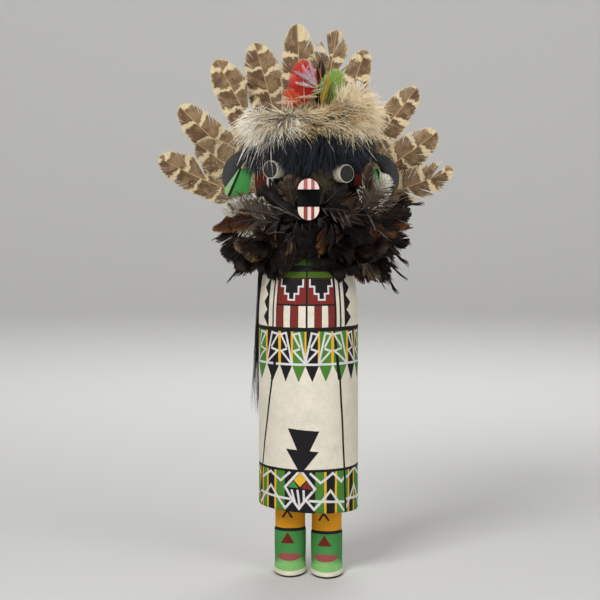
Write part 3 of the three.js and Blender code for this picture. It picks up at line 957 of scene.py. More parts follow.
def barb_tree():
    """Barbs on both sides of a shaft, and the shaft itself, lying flat with the tip along +Y.

    The shaft's points carry lean_l, lean_r (radians from the shaft), reach_l and reach_r.
    """
    tree, give, out = new_tree("feather barbs", [
        ("Barb Segments", "Int"), ("Barb Width", "Float"), ("Barb Bend", "Float"),
        ("Barb Roll", "Float"), ("Unevenness", "Float"), ("Shaft Radius", "Float"),
        ("Seed", "Int"), ("Vane", "Material"), ("Quill", "Material")])
    grid = reckoned(tree, "GeometryNodeMeshGrid", {
        "Size X": 1.0, "Size Y": 1.0, "Vertices Y": 2, "Vertices X": give("Barb Segments") + 1.0})
    spot = node_of(tree, "ShaderNodeSeparateXYZ", {0: reckoned(tree, "GeometryNodeInputPosition")})
    along = Reckoned(tree, spot.outputs[0]) + 0.5
    width = Reckoned(tree, spot.outputs[1]) * give("Barb Width") * (1.0 - 0.6 * along ** 4.0)
    barb = reckoned(tree, "GeometryNodeSetPosition", {
        "Geometry": stored(tree, grid, "across", along),
        "Position": reckoned(tree, "ShaderNodeCombineXYZ", {
            0: along, 1: width + give("Barb Bend") * along ** 2.0})})
    turned_over = reckoned(tree, "GeometryNodeFlipFaces", {"Mesh": barb})
    joined = tree.nodes.new("GeometryNodeJoinGeometry")
    for number, (side, sign, template) in enumerate((("r", -1.0, barb), ("l", 1.0, turned_over))):
        chance, luck = (reckoned(tree, "FunctionNodeRandomValue", {
            "Seed": give("Seed") + (start + number)}, 1, data_type="FLOAT")
            for start in (0.0, 10.0))
        lean = named(tree, "lean_" + side) + give("Unevenness") * (chance - 0.5)
        barbs = reckoned(tree, "GeometryNodeInstanceOnPoints", {
            "Points": give("Geometry"), "Instance": template,
            "Rotation": reckoned(tree, "ShaderNodeCombineXYZ", {
                0: give("Barb Roll") * -sign, 2: math.pi / 2 + sign * lean}),
            "Scale": reckoned(tree, "ShaderNodeCombineXYZ", {
                0: named(tree, "reach_" + side) * (1.0 - give("Unevenness") * luck ** 3.0),
                1: -sign * (0.35 + 0.9 * lean.worked("SINE", lean)), 2: 1.0})})
        barbs = stored(tree, barbs, "side", -sign, domain="INSTANCE")
        barbs = stored(tree, barbs, "barb", luck, domain="INSTANCE")
        tree.links.new(barbs.socket, joined.inputs[0])
    spine = reckoned(tree, "GeometryNodeMeshToCurve", {"Mesh": give("Geometry")})
    shaft = rod_along(tree, spine, 6, give("Shaft Radius"), 1.0 - 0.82 * named(tree, "along"), True)
    tree.links.new(stored(tree, shaft, "quill", 1.0).socket, joined.inputs[0])
    real = reckoned(tree, "GeometryNodeRealizeInstances", {0: joined.outputs[0]})
    vane = reckoned(tree, "GeometryNodeSetMaterial", {"Geometry": real, "Material": give("Vane")})
    is_quill = reckoned(tree, "FunctionNodeCompare", {0: named(tree, "quill"), 1: 0.5},
                        data_type="FLOAT", operation="GREATER_THAN")
    both = reckoned(tree, "GeometryNodeSetMaterial", {
        "Geometry": vane, "Selection": is_quill, "Material": give("Quill")})
    tree.links.new(both.socket, out)
    return tree


BARB_TREE = barb_tree()


PLAIN_FEATHER = {
    "barbs": 150, "segments": 7, "bend": 0.0012, "roll": 0.16, "unevenness": 0.07,
    "lean": (1.05, 0.32), "wander": 0.05, "blunt": 5.5, "half_l": 1.0, "half_r": 1.0,
    "longest": 4, "overlap": 1.9, "splits": (), "shaft": 0.0007,
}


def taken(mesh, widths, dropped):
    """What each vertex carries under each name; these names and the dropped ones come off."""
    found = {}
    for label, width in widths.items():
        values = np.zeros(len(mesh.vertices) * width, np.float32)
        if label in mesh.attributes:
            mesh.attributes[label].data.foreach_get("value" if width == 1 else "vector", values)
        found[label] = values.reshape(-1, width).squeeze()
    for label in (*widths, *dropped):
        if label in mesh.attributes:
            mesh.attributes.remove(mesh.attributes[label])
    return found


def flat_feather(name, length, width, bare, materials, options):
    """A feather lying flat: its mesh, and for each vertex its place and its traits.

    Sizes are in metres. Options: barbs a side, segments, bend, roll, unevenness, lean at the foot
    and tip, wander of that lean, blunt (how square the tip is), width of each half, longest barb
    (in half widths), overlap, splits [(side, share of length, jump)], shaft and seed.
    """
    habit = {**PLAIN_FEATHER, **options}
    share = np.linspace(0, 1, habit["barbs"] + 12)
    start = bare / length
    vane = np.clip((share - start) / (1 - start), 0, 1)
    y = share * length
    lean_foot, lean_tip = habit["lean"]
    rng = np.random.default_rng(habit["seed"])
    traits = {"along": share}
    for side in ("l", "r"):
        lean = lean_foot + (lean_tip - lean_foot) * vane ** 1.6
        lean = lean + habit["wander"] * np.sin(vane * rng.uniform(9, 14) + rng.uniform(0, 6))
        for which, place, jump in habit["splits"]:
            if which == side:
                past = np.clip(share - place, 0, 1)
                lean = lean + np.where(share >= place, -jump * np.exp(-past / 0.10), 0)
        lean = np.clip(lean, 0.12, 1.4)
        half = width / 2 * habit["half_" + side]
        # each barb is as long as it can be without passing the feather's outline
        short, long = np.zeros_like(y), np.full_like(y, half * habit["longest"])
        for _ in range(30):
            reach = (short + long) / 2
            tip = np.clip((y + reach * np.cos(lean) - bare) / (length - bare), 0, 1)
            outline = half * np.clip(1 - tip ** habit["blunt"], 0, 1) ** 0.5
            outline = outline * np.clip((vane + 0.02) / 0.14, 0, 1) ** 0.6
            pulled = habit["bend"] * np.cos(lean) * np.clip(reach / half, 0, 1)
            over = reach * np.sin(lean) - pulled > outline
            long = np.where(over, reach, long)
            short = np.where(over, short, reach)
        traits["lean_" + side] = lean
        traits["reach_" + side] = np.where(share < start, 0.00001, reach)
    mesh = bpy.data.meshes.new(name)
    count = len(share)
    mesh.from_pydata([(0, float(v), 0) for v in y], [(i, i + 1) for i in range(count - 1)], [])
    for label, values in traits.items():
        mesh.attributes.new(label, "FLOAT", "POINT").data.foreach_set(
            "value", values.astype(np.float32))
    piece = placed(name, mesh)
    done = grown(piece, BARB_TREE, {
        "Barb Segments": habit["segments"], "Barb Width": length / count * habit["overlap"],
        "Barb Bend": habit["bend"], "Barb Roll": habit["roll"], "Unevenness": habit["unevenness"],
        "Shaft Radius": habit["shaft"], "Seed": habit["seed"], "Vane": materials[0],
        "Quill": materials[1]})
    corners = np.zeros(len(done.vertices) * 3)
    done.vertices.foreach_get("co", corners)
    found = taken(done, dict.fromkeys(("across", "side", "barb", "along", "quill"), 1),
                  ("lean_l", "lean_r", "reach_l", "reach_r"))
    return piece, corners.reshape(-1, 3), found


def write_layout(mesh, corners):
    """Keeps each face corner's place on the flat layout of the vane."""
    sheet = mesh.uv_layers.get("OFBake") or mesh.uv_layers.new(name="OFBake")
    sheet.data.foreach_set("uv", corners.astype(np.float32).ravel())


def finish_barred(mesh, flat, found, lit_side, phase):
    """Writes the flat layout and the traits for the vane's bars and mottling, and which half is
    painted lighter as painted light.
    """
    tint = np.zeros((len(flat), 4), np.float32)
    tint[:, 0] = found["across"]
    # the half that faces up is marked to be painted lighter, as painted light
    tint[:, 1] = np.where(found["side"] * lit_side > 0, 1.0, 0.0)
    tint[:, 2] = found["barb"]
    tint[:, 3] = phase
    mesh.attributes.new("vane", "FLOAT_COLOR", "POINT").data.foreach_set("color", tint.ravel())
    corner_vertex = np.zeros(len(mesh.loops), np.int32)
    mesh.loops.foreach_get("vertex_index", corner_vertex)
    size = FAN_LAYOUT * MM
    layout = np.stack([flat[:, 0] / size + 0.5, flat[:, 1] / size + 0.02], 1)
    write_layout(mesh, np.clip(layout, 0, 1)[corner_vertex])


def corners_of(node):
    return np.array([v.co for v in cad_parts[node].data.vertices])


def axis_of(node, centre):
    """A feather plate's middle, its direction away from the centre, its ends and its corners."""
    points = corners_of(node)
    middle = points.mean(0)
    along = np.linalg.svd(points - middle)[2][0]
    if (middle - centre) @ along < 0:
        along = -along
    spread = (points - middle) @ along
    return middle, along, spread.min(), spread.max(), points


def let_light_through(tree, shader, colour, share):
    """Lets a share of the light through a thin vane, in the vane's own colour."""
    glow = reckoned(tree, "ShaderNodeBsdfTranslucent", {"Color": colour})
    thin = reckoned(tree, "ShaderNodeMixShader", {0: share, 1: shader.outputs[0], 2: glow})
    tree.links.new(thin.socket, tree.nodes["Material Output"].inputs[0])


BAR_STEP = 17.5


def barred_vane():
    """Barred vane: cream bars and mottling on brown, paler rim, and the upper half painted lighter
    than the lower as painted light and shade.
    """
    material, tree, shader = new_material("barred vane", {
        "Specular IOR Level": 0.35, "Sheen Weight": 0.15, "Roughness": 0.62})
    layout = node_of(tree, "ShaderNodeUVMap", uv_map="OFBake")
    flat = node_of(tree, "ShaderNodeSeparateXYZ", {0: layout.outputs[0]})
    trait = node_of(tree, "ShaderNodeAttribute", attribute_name="vane")
    parts = node_of(tree, "ShaderNodeSeparateColor", {0: trait.outputs["Color"]})
    across, light, barb, phase = (Reckoned(tree, socket) for socket in (
        *parts.outputs[:3], trait.outputs["Alpha"]))
    x = (Reckoned(tree, flat.outputs[0]) - 0.5) * FAN_LAYOUT
    y = Reckoned(tree, flat.outputs[1]) * FAN_LAYOUT
    spot = reckoned(tree, "ShaderNodeCombineXYZ", {0: x, 1: y, 2: phase * 9.0})
    soft, fine, dots = (reckoned(tree, "ShaderNodeTexNoise", {"Vector": spot, **values})
                        for values in ({"Scale": 0.16, "Detail": 3.0, "Roughness": 0.55},
                                       {"Scale": 0.75, "Detail": 3.0, "Roughness": 0.6},
                                       {"Scale": 1.15, "Detail": 2.0, "Distortion": 0.4}))
    line = y - 0.22 * abs(x) + (9.0 * (soft - 0.5) + (5.0 * (fine - 0.5) + light * 4.5))
    turn = (line + phase * 40.0) / BAR_STEP
    far = BAR_STEP * abs(turn.worked("FRACT", turn) - 0.5)
    bar = ranged(tree, far - (1.0 + 1.7 * across ** 2.0), 1.0, 0.0, -0.3, 0.9, "SMOOTHSTEP")
    rim = ranged(tree, across, 0.0, 1.0, 0.90, 0.97, "SMOOTHSTEP")
    foot = ranged(tree, y, 0.10, -0.14, 0.32 * FAN_LAYOUT, 0.62 * FAN_LAYOUT)
    dotted = ranged(tree, dots + foot, 0.0, 1.0, 0.53, 0.60, "SMOOTHSTEP")
    cream = bar.worked("MAXIMUM", bar, bar.worked("MAXIMUM", 0.85 * rim, 0.75 * dotted))
    colour = VANE_BROWN
    # the upper half leans to the paler brown: painted light from above
    for share, other in ((ranged(tree, soft + light * 0.14, 0.0, 1.0, 0.42, 0.68), VANE_PALE_AND_LIT),
                         (ranged(tree, far, 0.42, 0.0, 1.5, 5.5), VANE_DARK),
                         (cream, VANE_CREAM)):
        colour = reckoned(tree, "ShaderNodeMix", {"Factor": share, 6: colour, 7: other}, 2,
                          data_type="RGBA")
    colour = finish_shader(tree, shader, colour, 0.86 + barb * 0.26, fine, 0.3, 0.0002)
    let_light_through(tree, shader, colour, 0.22)
    return material


def quill_material(name, colour):
    """Horny quill: smooth, slightly glossy, a little streaked along its length."""
    material, tree, shader = new_material(name, {"Roughness": 0.38})
    streak = grain(tree, 260, 3)
    finish_shader(tree, shader, colour[:3], ranged(tree, streak, 0.8, 1.15), streak, 0.25, 0.0001)
    return material


FAN_LAYOUT = 130.0
BARRED_VANE = barred_vane()
PALE_QUILL = quill_material("pale quill", QUILL_CREAM)
fan_nodes = sorted(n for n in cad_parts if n.startswith("fan_feather_"))
fan_points = np.concatenate([corners_of(n) for n in fan_nodes])
fan_hub = np.array([AXIS_X - 0.0025, fan_points[:, 1].mean(), fan_points[:, 2].min()])
FAN_HABITS = {
    # name: (half painted lighter as painted light from above, splits as (side, share of length, how
    # far it opens), bow, phase)
    "fan_feather_01": (1, [("r", 0.62, 0.22)], -0.010, 0.11),
    "fan_feather_02": (1, [], 0.004, 0.43),
    "fan_feather_03": (1, [("r", 0.70, 0.07)], -0.006, 0.27),
    "fan_feather_04": (1, [("r", 0.60, 0.34)], 0.004, 0.62),
    "fan_feather_05": (1, [("l", 0.78, 0.06)], 0.006, 0.05),
    "fan_feather_06": (1, [("r", 0.80, 0.06)], 0.0, 0.36),
    "fan_feather_07": (1, [("l", 0.80, 0.26), ("r", 0.70, 0.24), ("r", 0.86, 0.2)], 0.0, 0.74),
    "fan_feather_08": (-1, [("r", 0.84, 0.06)], -0.004, 0.18),
    "fan_feather_09": (-1, [("l", 0.78, 0.05)], 0.006, 0.51),
    "fan_feather_10": (-1, [("r", 0.74, 0.08)], 0.006, 0.93),
    "fan_feather_11": (-1, [("r", 0.58, 0.2), ("l", 0.82, 0.3)], 0.008, 0.68),
}

FAN_SHAPES = {
    "fan_feather_05": {"half_l": 1.12, "half_r": 1.12},
    "fan_feather_07": {"half_l": 1.42, "half_r": 1.1, "blunt": 2.6, "unevenness": 0.16},
    "fan_feather_11": {"unevenness": 0.14},
}

for number, node in enumerate(fan_nodes):
    lit_side, splits, bow, phase = FAN_HABITS[node]
    middle, along, near, far, points = axis_of(node, fan_hub)
    length = far - near + 0.003
    sideways = np.cross([0.0, 1.0, 0.0], along)
    sideways /= np.linalg.norm(sideways)
    if sideways[0] * along[2] < 0:
        sideways = -sideways
    width = np.ptp((points - middle) @ sideways) * 1.14
    facing = np.cross(along, sideways)
    if facing[1] > 0:
        facing = -facing
    piece, flat, found = flat_feather(
        "barred_" + node, length, width, length * 0.30, (BARRED_VANE, PALE_QUILL),
        {"barbs": 190, "segments": 6, "seed": 20 + number, "splits": splits, "bend": 0.0011,
         "shaft": 0.00085, **FAN_SHAPES.get(node, {})})
    finish_barred(piece.data, flat, found, lit_side, phase)
    x, y, z = flat.T
    share = y / length
    sway = x + bow * np.sin(share * math.pi * 0.5) ** 2 - bow * share
    lift = z - 0.05 * np.abs(x) ** 2 / (width / 2) * 2.0
    lift += 0.0012 * np.sin(y * 70 + number) * np.clip(np.abs(x) / width, 0, 1)
    corners = (middle + along * near + np.outer(sway, sideways) + np.outer(y, along)
               + np.outer(lift, facing))
    piece.data.vertices.foreach_set("co", corners.ravel())
    piece.data.update()
    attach(piece, "root")
    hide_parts(node)


# ---- Crest feathers ----
# Small dyed and natural feathers of caged birds stuck into the crown behind the fur: a red one
# with lavender wisps over it, an orange one lying down, and brown, green, yellow and white ones.

def dyed_vane(name, gloss, see_through, velvet=0.12):
    """Vane whose colour is given barb by barb, with fine streaks, soft sheen and barb ridges."""
    material, tree, shader = new_material(name, {
        "Specular IOR Level": gloss, "Sheen Weight": velvet})
    tone = reckoned(tree, "ShaderNodeAttribute", output="Color", attribute_name="tone")
    streak = grain(tree, 700, 3)
    colour = finish_shader(tree, shader, tone, ranged(tree, streak, 0.8, 1.18, 0.3, 0.7), streak,
                           0.4, 0.0001, ranged(tree, streak, 0.36, 0.66))
    if see_through:
        let_light_through(tree, shader, colour, see_through)
    return material


DYED_VANE = dyed_vane("dyed vane", 0.35, 0.25)


def blend_tones(low, high, share):
    share = np.clip(share, 0, 1)[:, None]
    return np.array(low)[None, :] * (1 - share) + np.array(high)[None, :] * share


def write_tones(mesh, tones):
    """Gives each vertex its colour."""
    colours = np.hstack([tones[:, :3], np.ones((len(tones), 1))]).astype(np.float32)
    mesh.attributes.new("tone", "FLOAT_COLOR", "POINT").data.foreach_set("color", colours.ravel())


class FeatherStock:
    """One flat feather kept as arrays, to be laid many times with its own bends and colours."""

    def __init__(self, length, width, bare, options):
        piece, flat, found = flat_feather("stock", length, width, bare,
                                          (DYED_VANE, PALE_QUILL), options)
        mesh = piece.data
        self.flat, self.found, self.length, self.width = flat, found, length, width
        self.totals = np.zeros(len(mesh.polygons), np.int32)
        mesh.polygons.foreach_get("loop_total", self.totals)
        self.corners = np.zeros(len(mesh.loops), np.int32)
        mesh.loops.foreach_get("vertex_index", self.corners)
        starts = np.concatenate([[0], np.cumsum(self.totals)[:-1]])
        self.kinds = (found["quill"][self.corners[starts]] > 0.5).astype(np.int32)
        bpy.data.objects.remove(piece)

    def laid(self, foot, along, facing, size=1.0, droop=0.0, bow=0.0, cup=0.0, twist=0.0,
             ruffle=0.0, phase=0.0, broad=1.0):
        """Vertex places: droop bends the tip away from facing, bow bends it sideways."""
        along = np.array(along, float)
        along /= np.linalg.norm(along)
        facing = np.array(facing, float)
        facing -= along * (facing @ along)
        facing /= np.linalg.norm(facing)
        sideways = np.cross(along, facing)
        x, y, z = (self.flat * size).T
        length, half = self.length * size, self.width * size * broad / 2
        share = y / length
        x = x * broad + bow * length * share ** 2
        lift = z - droop * length * share ** 2 - cup * abs(half) * (x / half) ** 2
        lift = lift + ruffle * half * np.sin(share * 17 + x / half * 1.7 + phase) * np.clip(
            np.abs(x / half), 0, 1)
        turn = twist * share
        u = x * np.cos(turn) - lift * np.sin(turn)
        w = x * np.sin(turn) + lift * np.cos(turn)
        return (np.array(foot)[None, :] + np.outer(u, sideways) + np.outer(y, along)
                + np.outer(w, facing))


def feather_group(name, sheets, materials):
    """One mesh from (stock, places, tones) sheets; each feather has its own cell of the layout."""
    grid = math.ceil(math.sqrt(len(sheets)))
    corners, totals, loops, kinds, tones, layout = [], [], [], [], [], []
    first = 0
    for number, (stock, places, tone) in enumerate(sheets):
        corners.append(places)
        totals.append(stock.totals)
        loops.append(stock.corners + first)
        kinds.append(stock.kinds)
        tones.append(tone)
        size = max(stock.length, stock.width) * 1.08
        cell = np.stack([stock.flat[:, 0] / size + 0.5, stock.flat[:, 1] / size + 0.03], 1)
        cell = (np.clip(cell, 0, 1) + (number % grid, number // grid)) / grid
        layout.append(cell[stock.corners])
        first += len(places)
    corners = np.concatenate(corners)
    totals, loops, kinds = np.concatenate(totals), np.concatenate(loops), np.concatenate(kinds)
    tones, layout = np.concatenate(tones), np.concatenate(layout)
    mesh = bpy.data.meshes.new(name)
    mesh.vertices.add(len(corners))
    mesh.vertices.foreach_set("co", corners.ravel())
    mesh.loops.add(len(loops))
    mesh.loops.foreach_set("vertex_index", loops)
    mesh.polygons.add(len(totals))
    mesh.polygons.foreach_set("loop_start", np.concatenate([[0], np.cumsum(totals)[:-1]]))
    mesh.polygons.foreach_set("material_index", kinds)
    mesh.update(calc_edges=True)
    write_tones(mesh, tones)
    write_layout(mesh, layout)
    for material in materials:
        mesh.materials.append(material)
    return placed(name, mesh)


def barb_tones(stock, colours, rng, spread=0.25, rim_from=0.75, tip_from=0.88):
    """Colours at the foot, in the middle and along the rim, each barb a little off from them."""
    foot_colour, middle_colour, rim_colour = (pigment(code)[:3] for code in colours)
    found = stock.found
    along = np.clip(stock.flat[:, 1] / stock.length, 0, 1)
    tone = blend_tones(foot_colour, middle_colour, along * 1.6)
    rim = np.maximum((found["across"] - rim_from) / (1 - rim_from),
                     (along - tip_from) / (1 - tip_from))
    tone = tone + (np.array(rim_colour)[None, :] - tone) * np.clip(rim, 0, 1)[:, None] ** 1.5
    streak = 1 + spread * (found["barb"] - 0.5) * 2
    return tone * streak[:, None] * rng.uniform(0.92, 1.08)


CREST = {
    # node end: foot, middle and rim colours, width and length factors, splits, unevenness
    "red": ("b41e16", "d83626", "d0584a", 1.35, 1, [("r", 0.7, 0.15), ("l", 0.8, 0.1)], 0.12),
    "orange": ("c03416", "d8481f", "dc8a68", 1.5, 1, [("r", 0.4, 0.5), ("l", 0.5, 0.5)], 0.4),
    "brown": ("1c130b", "20170e", "3c2c1c", 1.3, 0.86, [], 0.08),
    "green": ("66862a", "8cab4c", "b4c87c", 1.45, 1, [("l", 0.7, 0.1)], 0.12),
    "yellow": ("98771c", "a88f24", "b89f40", 0.62, 1, [("r", 0.5, 0.3)], 0.25),
    "white": ("c9c5bd", "dcdcdc", "e6e9ee", 1.2, 1, [("l", 0.4, 0.35), ("r", 0.55, 0.4)], 0.4),
}

LAVENDER = ("b4a6b8", "bdb2cc", "d6cfe2")
ICE = ("a8b4b4", "c2ccd0", "e2e8ec")
CREST_WISPS = {
    # where a wisp starts (across and up, mm), how far it runs and rises, its three colours
    "red": [(7, 364, -16, 14, LAVENDER), (7, 364.5, -13, 15.5, LAVENDER),
            (7, 365, -8, 17, LAVENDER), (7, 363.5, -17, 5, ICE), (7, 364, -11, 10, ICE)],
    "green": [(2, 361, 13, 3, ICE), (0, 358, 15, 5, ("8f9c3a", "a9b552", "c3cc80")),
              (3, 362, 12, 8, ("7ba88a", "9cc4a4", "c6dcc4"))],
    "yellow": [(10, 368, -1.5, 10.5, ("8c2a12", "b8421c", "c87040"))],
    "white": [(34, 356, 12, 9, ICE), (33, 356, 8, 12, ICE), (34, 355, 14, 4, ICE)],
    "orange": [(-8, 354, -16, -2, ("c9a498", "e0c8bc", "f0e6de")),
               (-6, 355, -14, -6, ("c04a34", "d4705a", "eccabc")),
               (-10, 356, 16, 3, ("c8b890", "dccfa8", "efe8cc"))],
}
WISP_STOCK = [FeatherStock(0.018, 0.0024, 0.001, {
    "barbs": 16, "segments": 4, "seed": 90 + k, "unevenness": 0.4, "overlap": 0.6, "longest": 5,
    "lean": (0.24, 0.12), "bend": 0.0002, "shaft": 0.00025}) for k in range(2)]

for number, (kind, habit) in enumerate(CREST.items()):
    node = "crest_feather_" + kind
    *colours, widen, shorten, splits, unevenness = habit
    middle, along, near, far, points = axis_of(node, (AXIS_X, AXIS_Y, CROWN * MM - 0.02))
    length = (far - near) * shorten
    sideways = np.cross([0.0, 1.0, 0.0], along)
    sideways /= np.linalg.norm(sideways)
    width = np.ptp((points - middle) @ sideways) * widen
    rng = np.random.default_rng(60 + number)
    stock = FeatherStock(length, width, length * 0.12, {
        "barbs": 90, "segments": 6, "seed": 70 + number, "splits": splits, "bend": 0.001,
        "unevenness": unevenness, "shaft": 0.0004, "blunt": 3.0 if kind != "brown" else 1.6})
    tone = barb_tones(stock, colours, rng)
    sheets = [(stock, stock.laid(middle + along * near, along, (0, -1, 0.1), cup=0.12,
                                 droop=0.04, ruffle=0.06), tone)]
    for start_x, start_z, run, rise, colours in CREST_WISPS.get(kind, ()):
        start = np.array([AXIS_X + start_x * MM, middle[1] - 0.004, start_z * MM])
        wisp = WISP_STOCK[len(sheets) % 2]
        tone = barb_tones(wisp, colours, rng, 0.2)
        sheets.append((wisp, wisp.laid(
            start, (run, -1.5, rise), (0, -1, 0.1), math.hypot(run, rise) * MM / wisp.length,
            cup=0.1, bow=rng.uniform(-0.12, 0.12), ruffle=0.2), tone))
    crest = feather_group("crest_" + kind, sheets, (DYED_VANE, PALE_QUILL))
    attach(crest, "root")
    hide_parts(node)


# ---- Hair fringe ----
# Black horsehair glued in layers across the brow and cut short over the eyes. It is coarse and
# straight and glossy, lies in every direction downward, and a few strands are painted pale blue as
# painted highlights.

def strand_tree():
    """Strands grown from a skin whose points carry comb (direction) and reach (length)."""
    tree, give, out = new_tree("strands", [
        ("Density", "Float"), ("Segments", "Int"), ("Thickness", "Float"), ("Mess", "Float"),
        ("Tuft Pull", "Float"), ("Tuft Scale", "Float"), ("Droop", "Float"), ("Seed", "Int"),
        ("Strand", "Material")])

    def vector(operation, a, b=None, scale=None):
        inputs = {0: a, 1: b, "Scale": scale}
        return reckoned(tree, "ShaderNodeVectorMath", {
            key: value for key, value in inputs.items() if value is not None}, operation=operation)

    rooted = reckoned(tree, "GeometryNodeDistributePointsOnFaces", {
        "Mesh": give("Geometry"), "Density": give("Density"), "Seed": give("Seed")})
    chance = reckoned(tree, "FunctionNodeRandomValue", {
        0: (-1, -1, -1), 1: (1, 1, 1), "Seed": give("Seed")}, data_type="FLOAT_VECTOR")
    luck = reckoned(tree, "FunctionNodeRandomValue", {"Seed": give("Seed") + 7.0}, 1,
                    data_type="FLOAT")
    for name, value, kind in (
            ("root", reckoned(tree, "GeometryNodeInputPosition"), "FLOAT_VECTOR"),
            ("stray", chance, "FLOAT_VECTOR"), ("luck", luck, "FLOAT")):
        rooted = stored(tree, rooted, name, value, kind)
    line = reckoned(tree, "GeometryNodeResampleCurve", {
        "Curve": reckoned(tree, "GeometryNodeCurvePrimitiveLine"), "Count": give("Segments") + 1.0})
    lines = reckoned(tree, "GeometryNodeInstanceOnPoints", {"Points": rooted, "Instance": line})
    real = reckoned(tree, "GeometryNodeRealizeInstances", {0: lines})
    rise = reckoned(tree, "GeometryNodeSplineParameter")
    root, comb, stray = (named(tree, n, "FLOAT_VECTOR") for n in ("root", "comb", "stray"))
    reach = named(tree, "reach") * (0.72 + 0.4 * named(tree, "luck"))
    heading = vector("NORMALIZE", vector("ADD", comb, vector("SCALE", stray, scale=give("Mess"))))
    tuft = reckoned(tree, "ShaderNodeTexNoise", {
        "Vector": root, "Scale": give("Tuft Scale"), "Detail": 1.5}, 1)
    tuft = vector("SUBTRACT", tuft, (0.5, 0.5, 0.5))
    heading = vector("ADD", heading, vector("SCALE", tuft, scale=give("Tuft Pull") * rise ** 1.4))
    fall = reckoned(tree, "ShaderNodeCombineXYZ", {2: give("Droop") * (rise * -1.0)})
    offset = vector("SCALE", vector("ADD", heading, fall), scale=reach * rise)
    bent = reckoned(tree, "GeometryNodeSetPosition", {
        "Geometry": real, "Position": vector("ADD", root, offset)})
    solid = rod_along(tree, stored(tree, bent, "rise", rise), 3, give("Thickness"),
                      1.0 - 0.85 * rise ** 2.0)
    real = reckoned(tree, "GeometryNodeRealizeInstances", {0: solid})
    done = reckoned(tree, "GeometryNodeSetMaterial", {
        "Geometry": real, "Material": give("Strand")})
    tree.links.new(done.socket, out)
    return tree


STRAND_TREE = strand_tree()


def skin_grid(columns, rows, place, comb, reach, bald=lambda face: False):
    """A patch of skin: place, comb and reach give each point's position, direction and length."""
    corners, combs, reaches = [], [], []
    for j in range(rows + 1):
        for i in range(columns + 1):
            u, v = i / columns, j / rows
            corners.append(tuple(place(u, v)))
            combs.append(tuple(comb(u, v)))
            reaches.append(reach(u, v))
    faces = []
    for j in range(rows):
        for i in range(columns):
            a = j * (columns + 1) + i
            faces.append((a, a + 1, a + columns + 2, a + columns + 1))
    mesh = bpy.data.meshes.new("skin")
    mesh.from_pydata(corners, [], [face for face in faces if not bald(face)])
    mesh.attributes.new("comb", "FLOAT_VECTOR", "POINT").data.foreach_set(
        "vector", np.array(combs, np.float32).ravel())
    mesh.attributes.new("reach", "FLOAT", "POINT").data.foreach_set(
        "value", np.array(reaches, np.float32))
    return mesh


def strands(name, skin, values):
    """Grows the strands and returns the piece with each vertex's rise, luck and root."""
    piece = placed(name, skin)
    mesh = grown(piece, STRAND_TREE, values)
    found = taken(mesh, {"rise": 1, "luck": 1, "root": 3}, ("stray", "comb", "reach"))
    mesh.shade_smooth()
    return piece, found


def round_place(turn, radius, height):
    """A point at a turn (degrees to the viewer's right of the front) about the figure's axis."""
    angle = math.radians(turn)
    return Vector((AXIS_X + math.sin(angle) * radius * MM, AXIS_Y - math.cos(angle) * radius * MM,
                   height * MM))


def round_heading(turn, outward, sideways, upward):
    angle = math.radians(turn)
    return Vector((math.sin(angle) * outward + math.cos(angle) * sideways,
                   -math.cos(angle) * outward + math.sin(angle) * sideways, upward))


HORSEHAIR = dyed_vane("horsehair", 0.5, 0, 0)
FRINGE_SPAN = 86
FRINGE_TOP = 340
FRINGE_FOOT = 312
fringe_skin = skin_grid(
    60, 14,
    lambda u, v: round_place((2 * u - 1) * FRINGE_SPAN, 41.4 - 2.2 * max(0, v - 0.6),
                             FRINGE_FOOT + (FRINGE_TOP - FRINGE_FOOT) * v),
    lambda u, v: round_heading((2 * u - 1) * FRINGE_SPAN, 0.16, 0.25 * math.sin(9 * u), -1),
    lambda u, v: (14 + 13 * v) * MM)
fringe, found = strands("horsehair_fringe", fringe_skin, {
    "Density": 0.95e6, "Segments": 6, "Thickness": 0.00028, "Mess": 0.55, "Tuft Pull": 0.7,
    "Tuft Scale": 130.0, "Droop": 0.1, "Seed": 5, "Strand": HORSEHAIR})
# a few strands, picked at random, are painted pale blue: painted highlights
write_tones(fringe.data, blend_tones(
    pigment("07080c")[:3], pigment("3c4558")[:3], found["luck"] ** 5))
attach(fringe, "root")
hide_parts("hair_fringe")


# ---- Hair down the back ----
# A thin fall of the same horsehair, tied in under the feather ruff and left hanging.

hair_low, hair_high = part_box("back_hair")
HAIR_FROM = 136
HAIR_TO = 242



def hair_turn(u):
    return HAIR_FROM + (HAIR_TO - HAIR_FROM) * (1 - u)


hair_skin = skin_grid(
    60, 6,
    lambda u, v: round_place(hair_turn(u), 38.4 + 4.2 * v, hair_high.z / MM + 2 + 10 * v),
    lambda u, v: round_heading(hair_turn(u), 0.035 + 0.02 * v, 0.02, -1),
    lambda u, v: (hair_high.z - hair_low.z) * (1.02 + 0.05 * math.sin(23 * u)))
back_hair, found = strands("horsehair_fall", hair_skin, {
    "Density": 1.5e6, "Segments": 12, "Thickness": 0.00026, "Mess": 0.03, "Tuft Pull": 0.09,
    "Tuft Scale": 120.0, "Droop": 0.0, "Seed": 8, "Strand": HORSEHAIR})
write_tones(back_hair.data, blend_tones(
    pigment("06070a")[:3], pigment("15161b")[:3], found["luck"] ** 2))
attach(back_hair, "root")
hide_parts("back_hair")


# ---- Fur band ----
# A strip of rabbit or coyote fur glued round the brow: brown at the root and cream at the tip,
# thicker over the left temple, where it hangs, and over the right, where it stands up.

FUR_ROOT = pigment("654c32")
FUR_GOLD = pigment("e8cf96")
FUR_CREAM = pigment("fdf2d6")
FUR_WHITE = pigment("fdfbf6")
FUR_SPAN = 106
FUR_COLUMNS, FUR_ROWS = 70, 14
FUR = dyed_vane("fur", 0.2, 0.3, 0.05)


def clump(turn, middle, spread):
    return math.exp(-((turn - middle) / spread) ** 2)


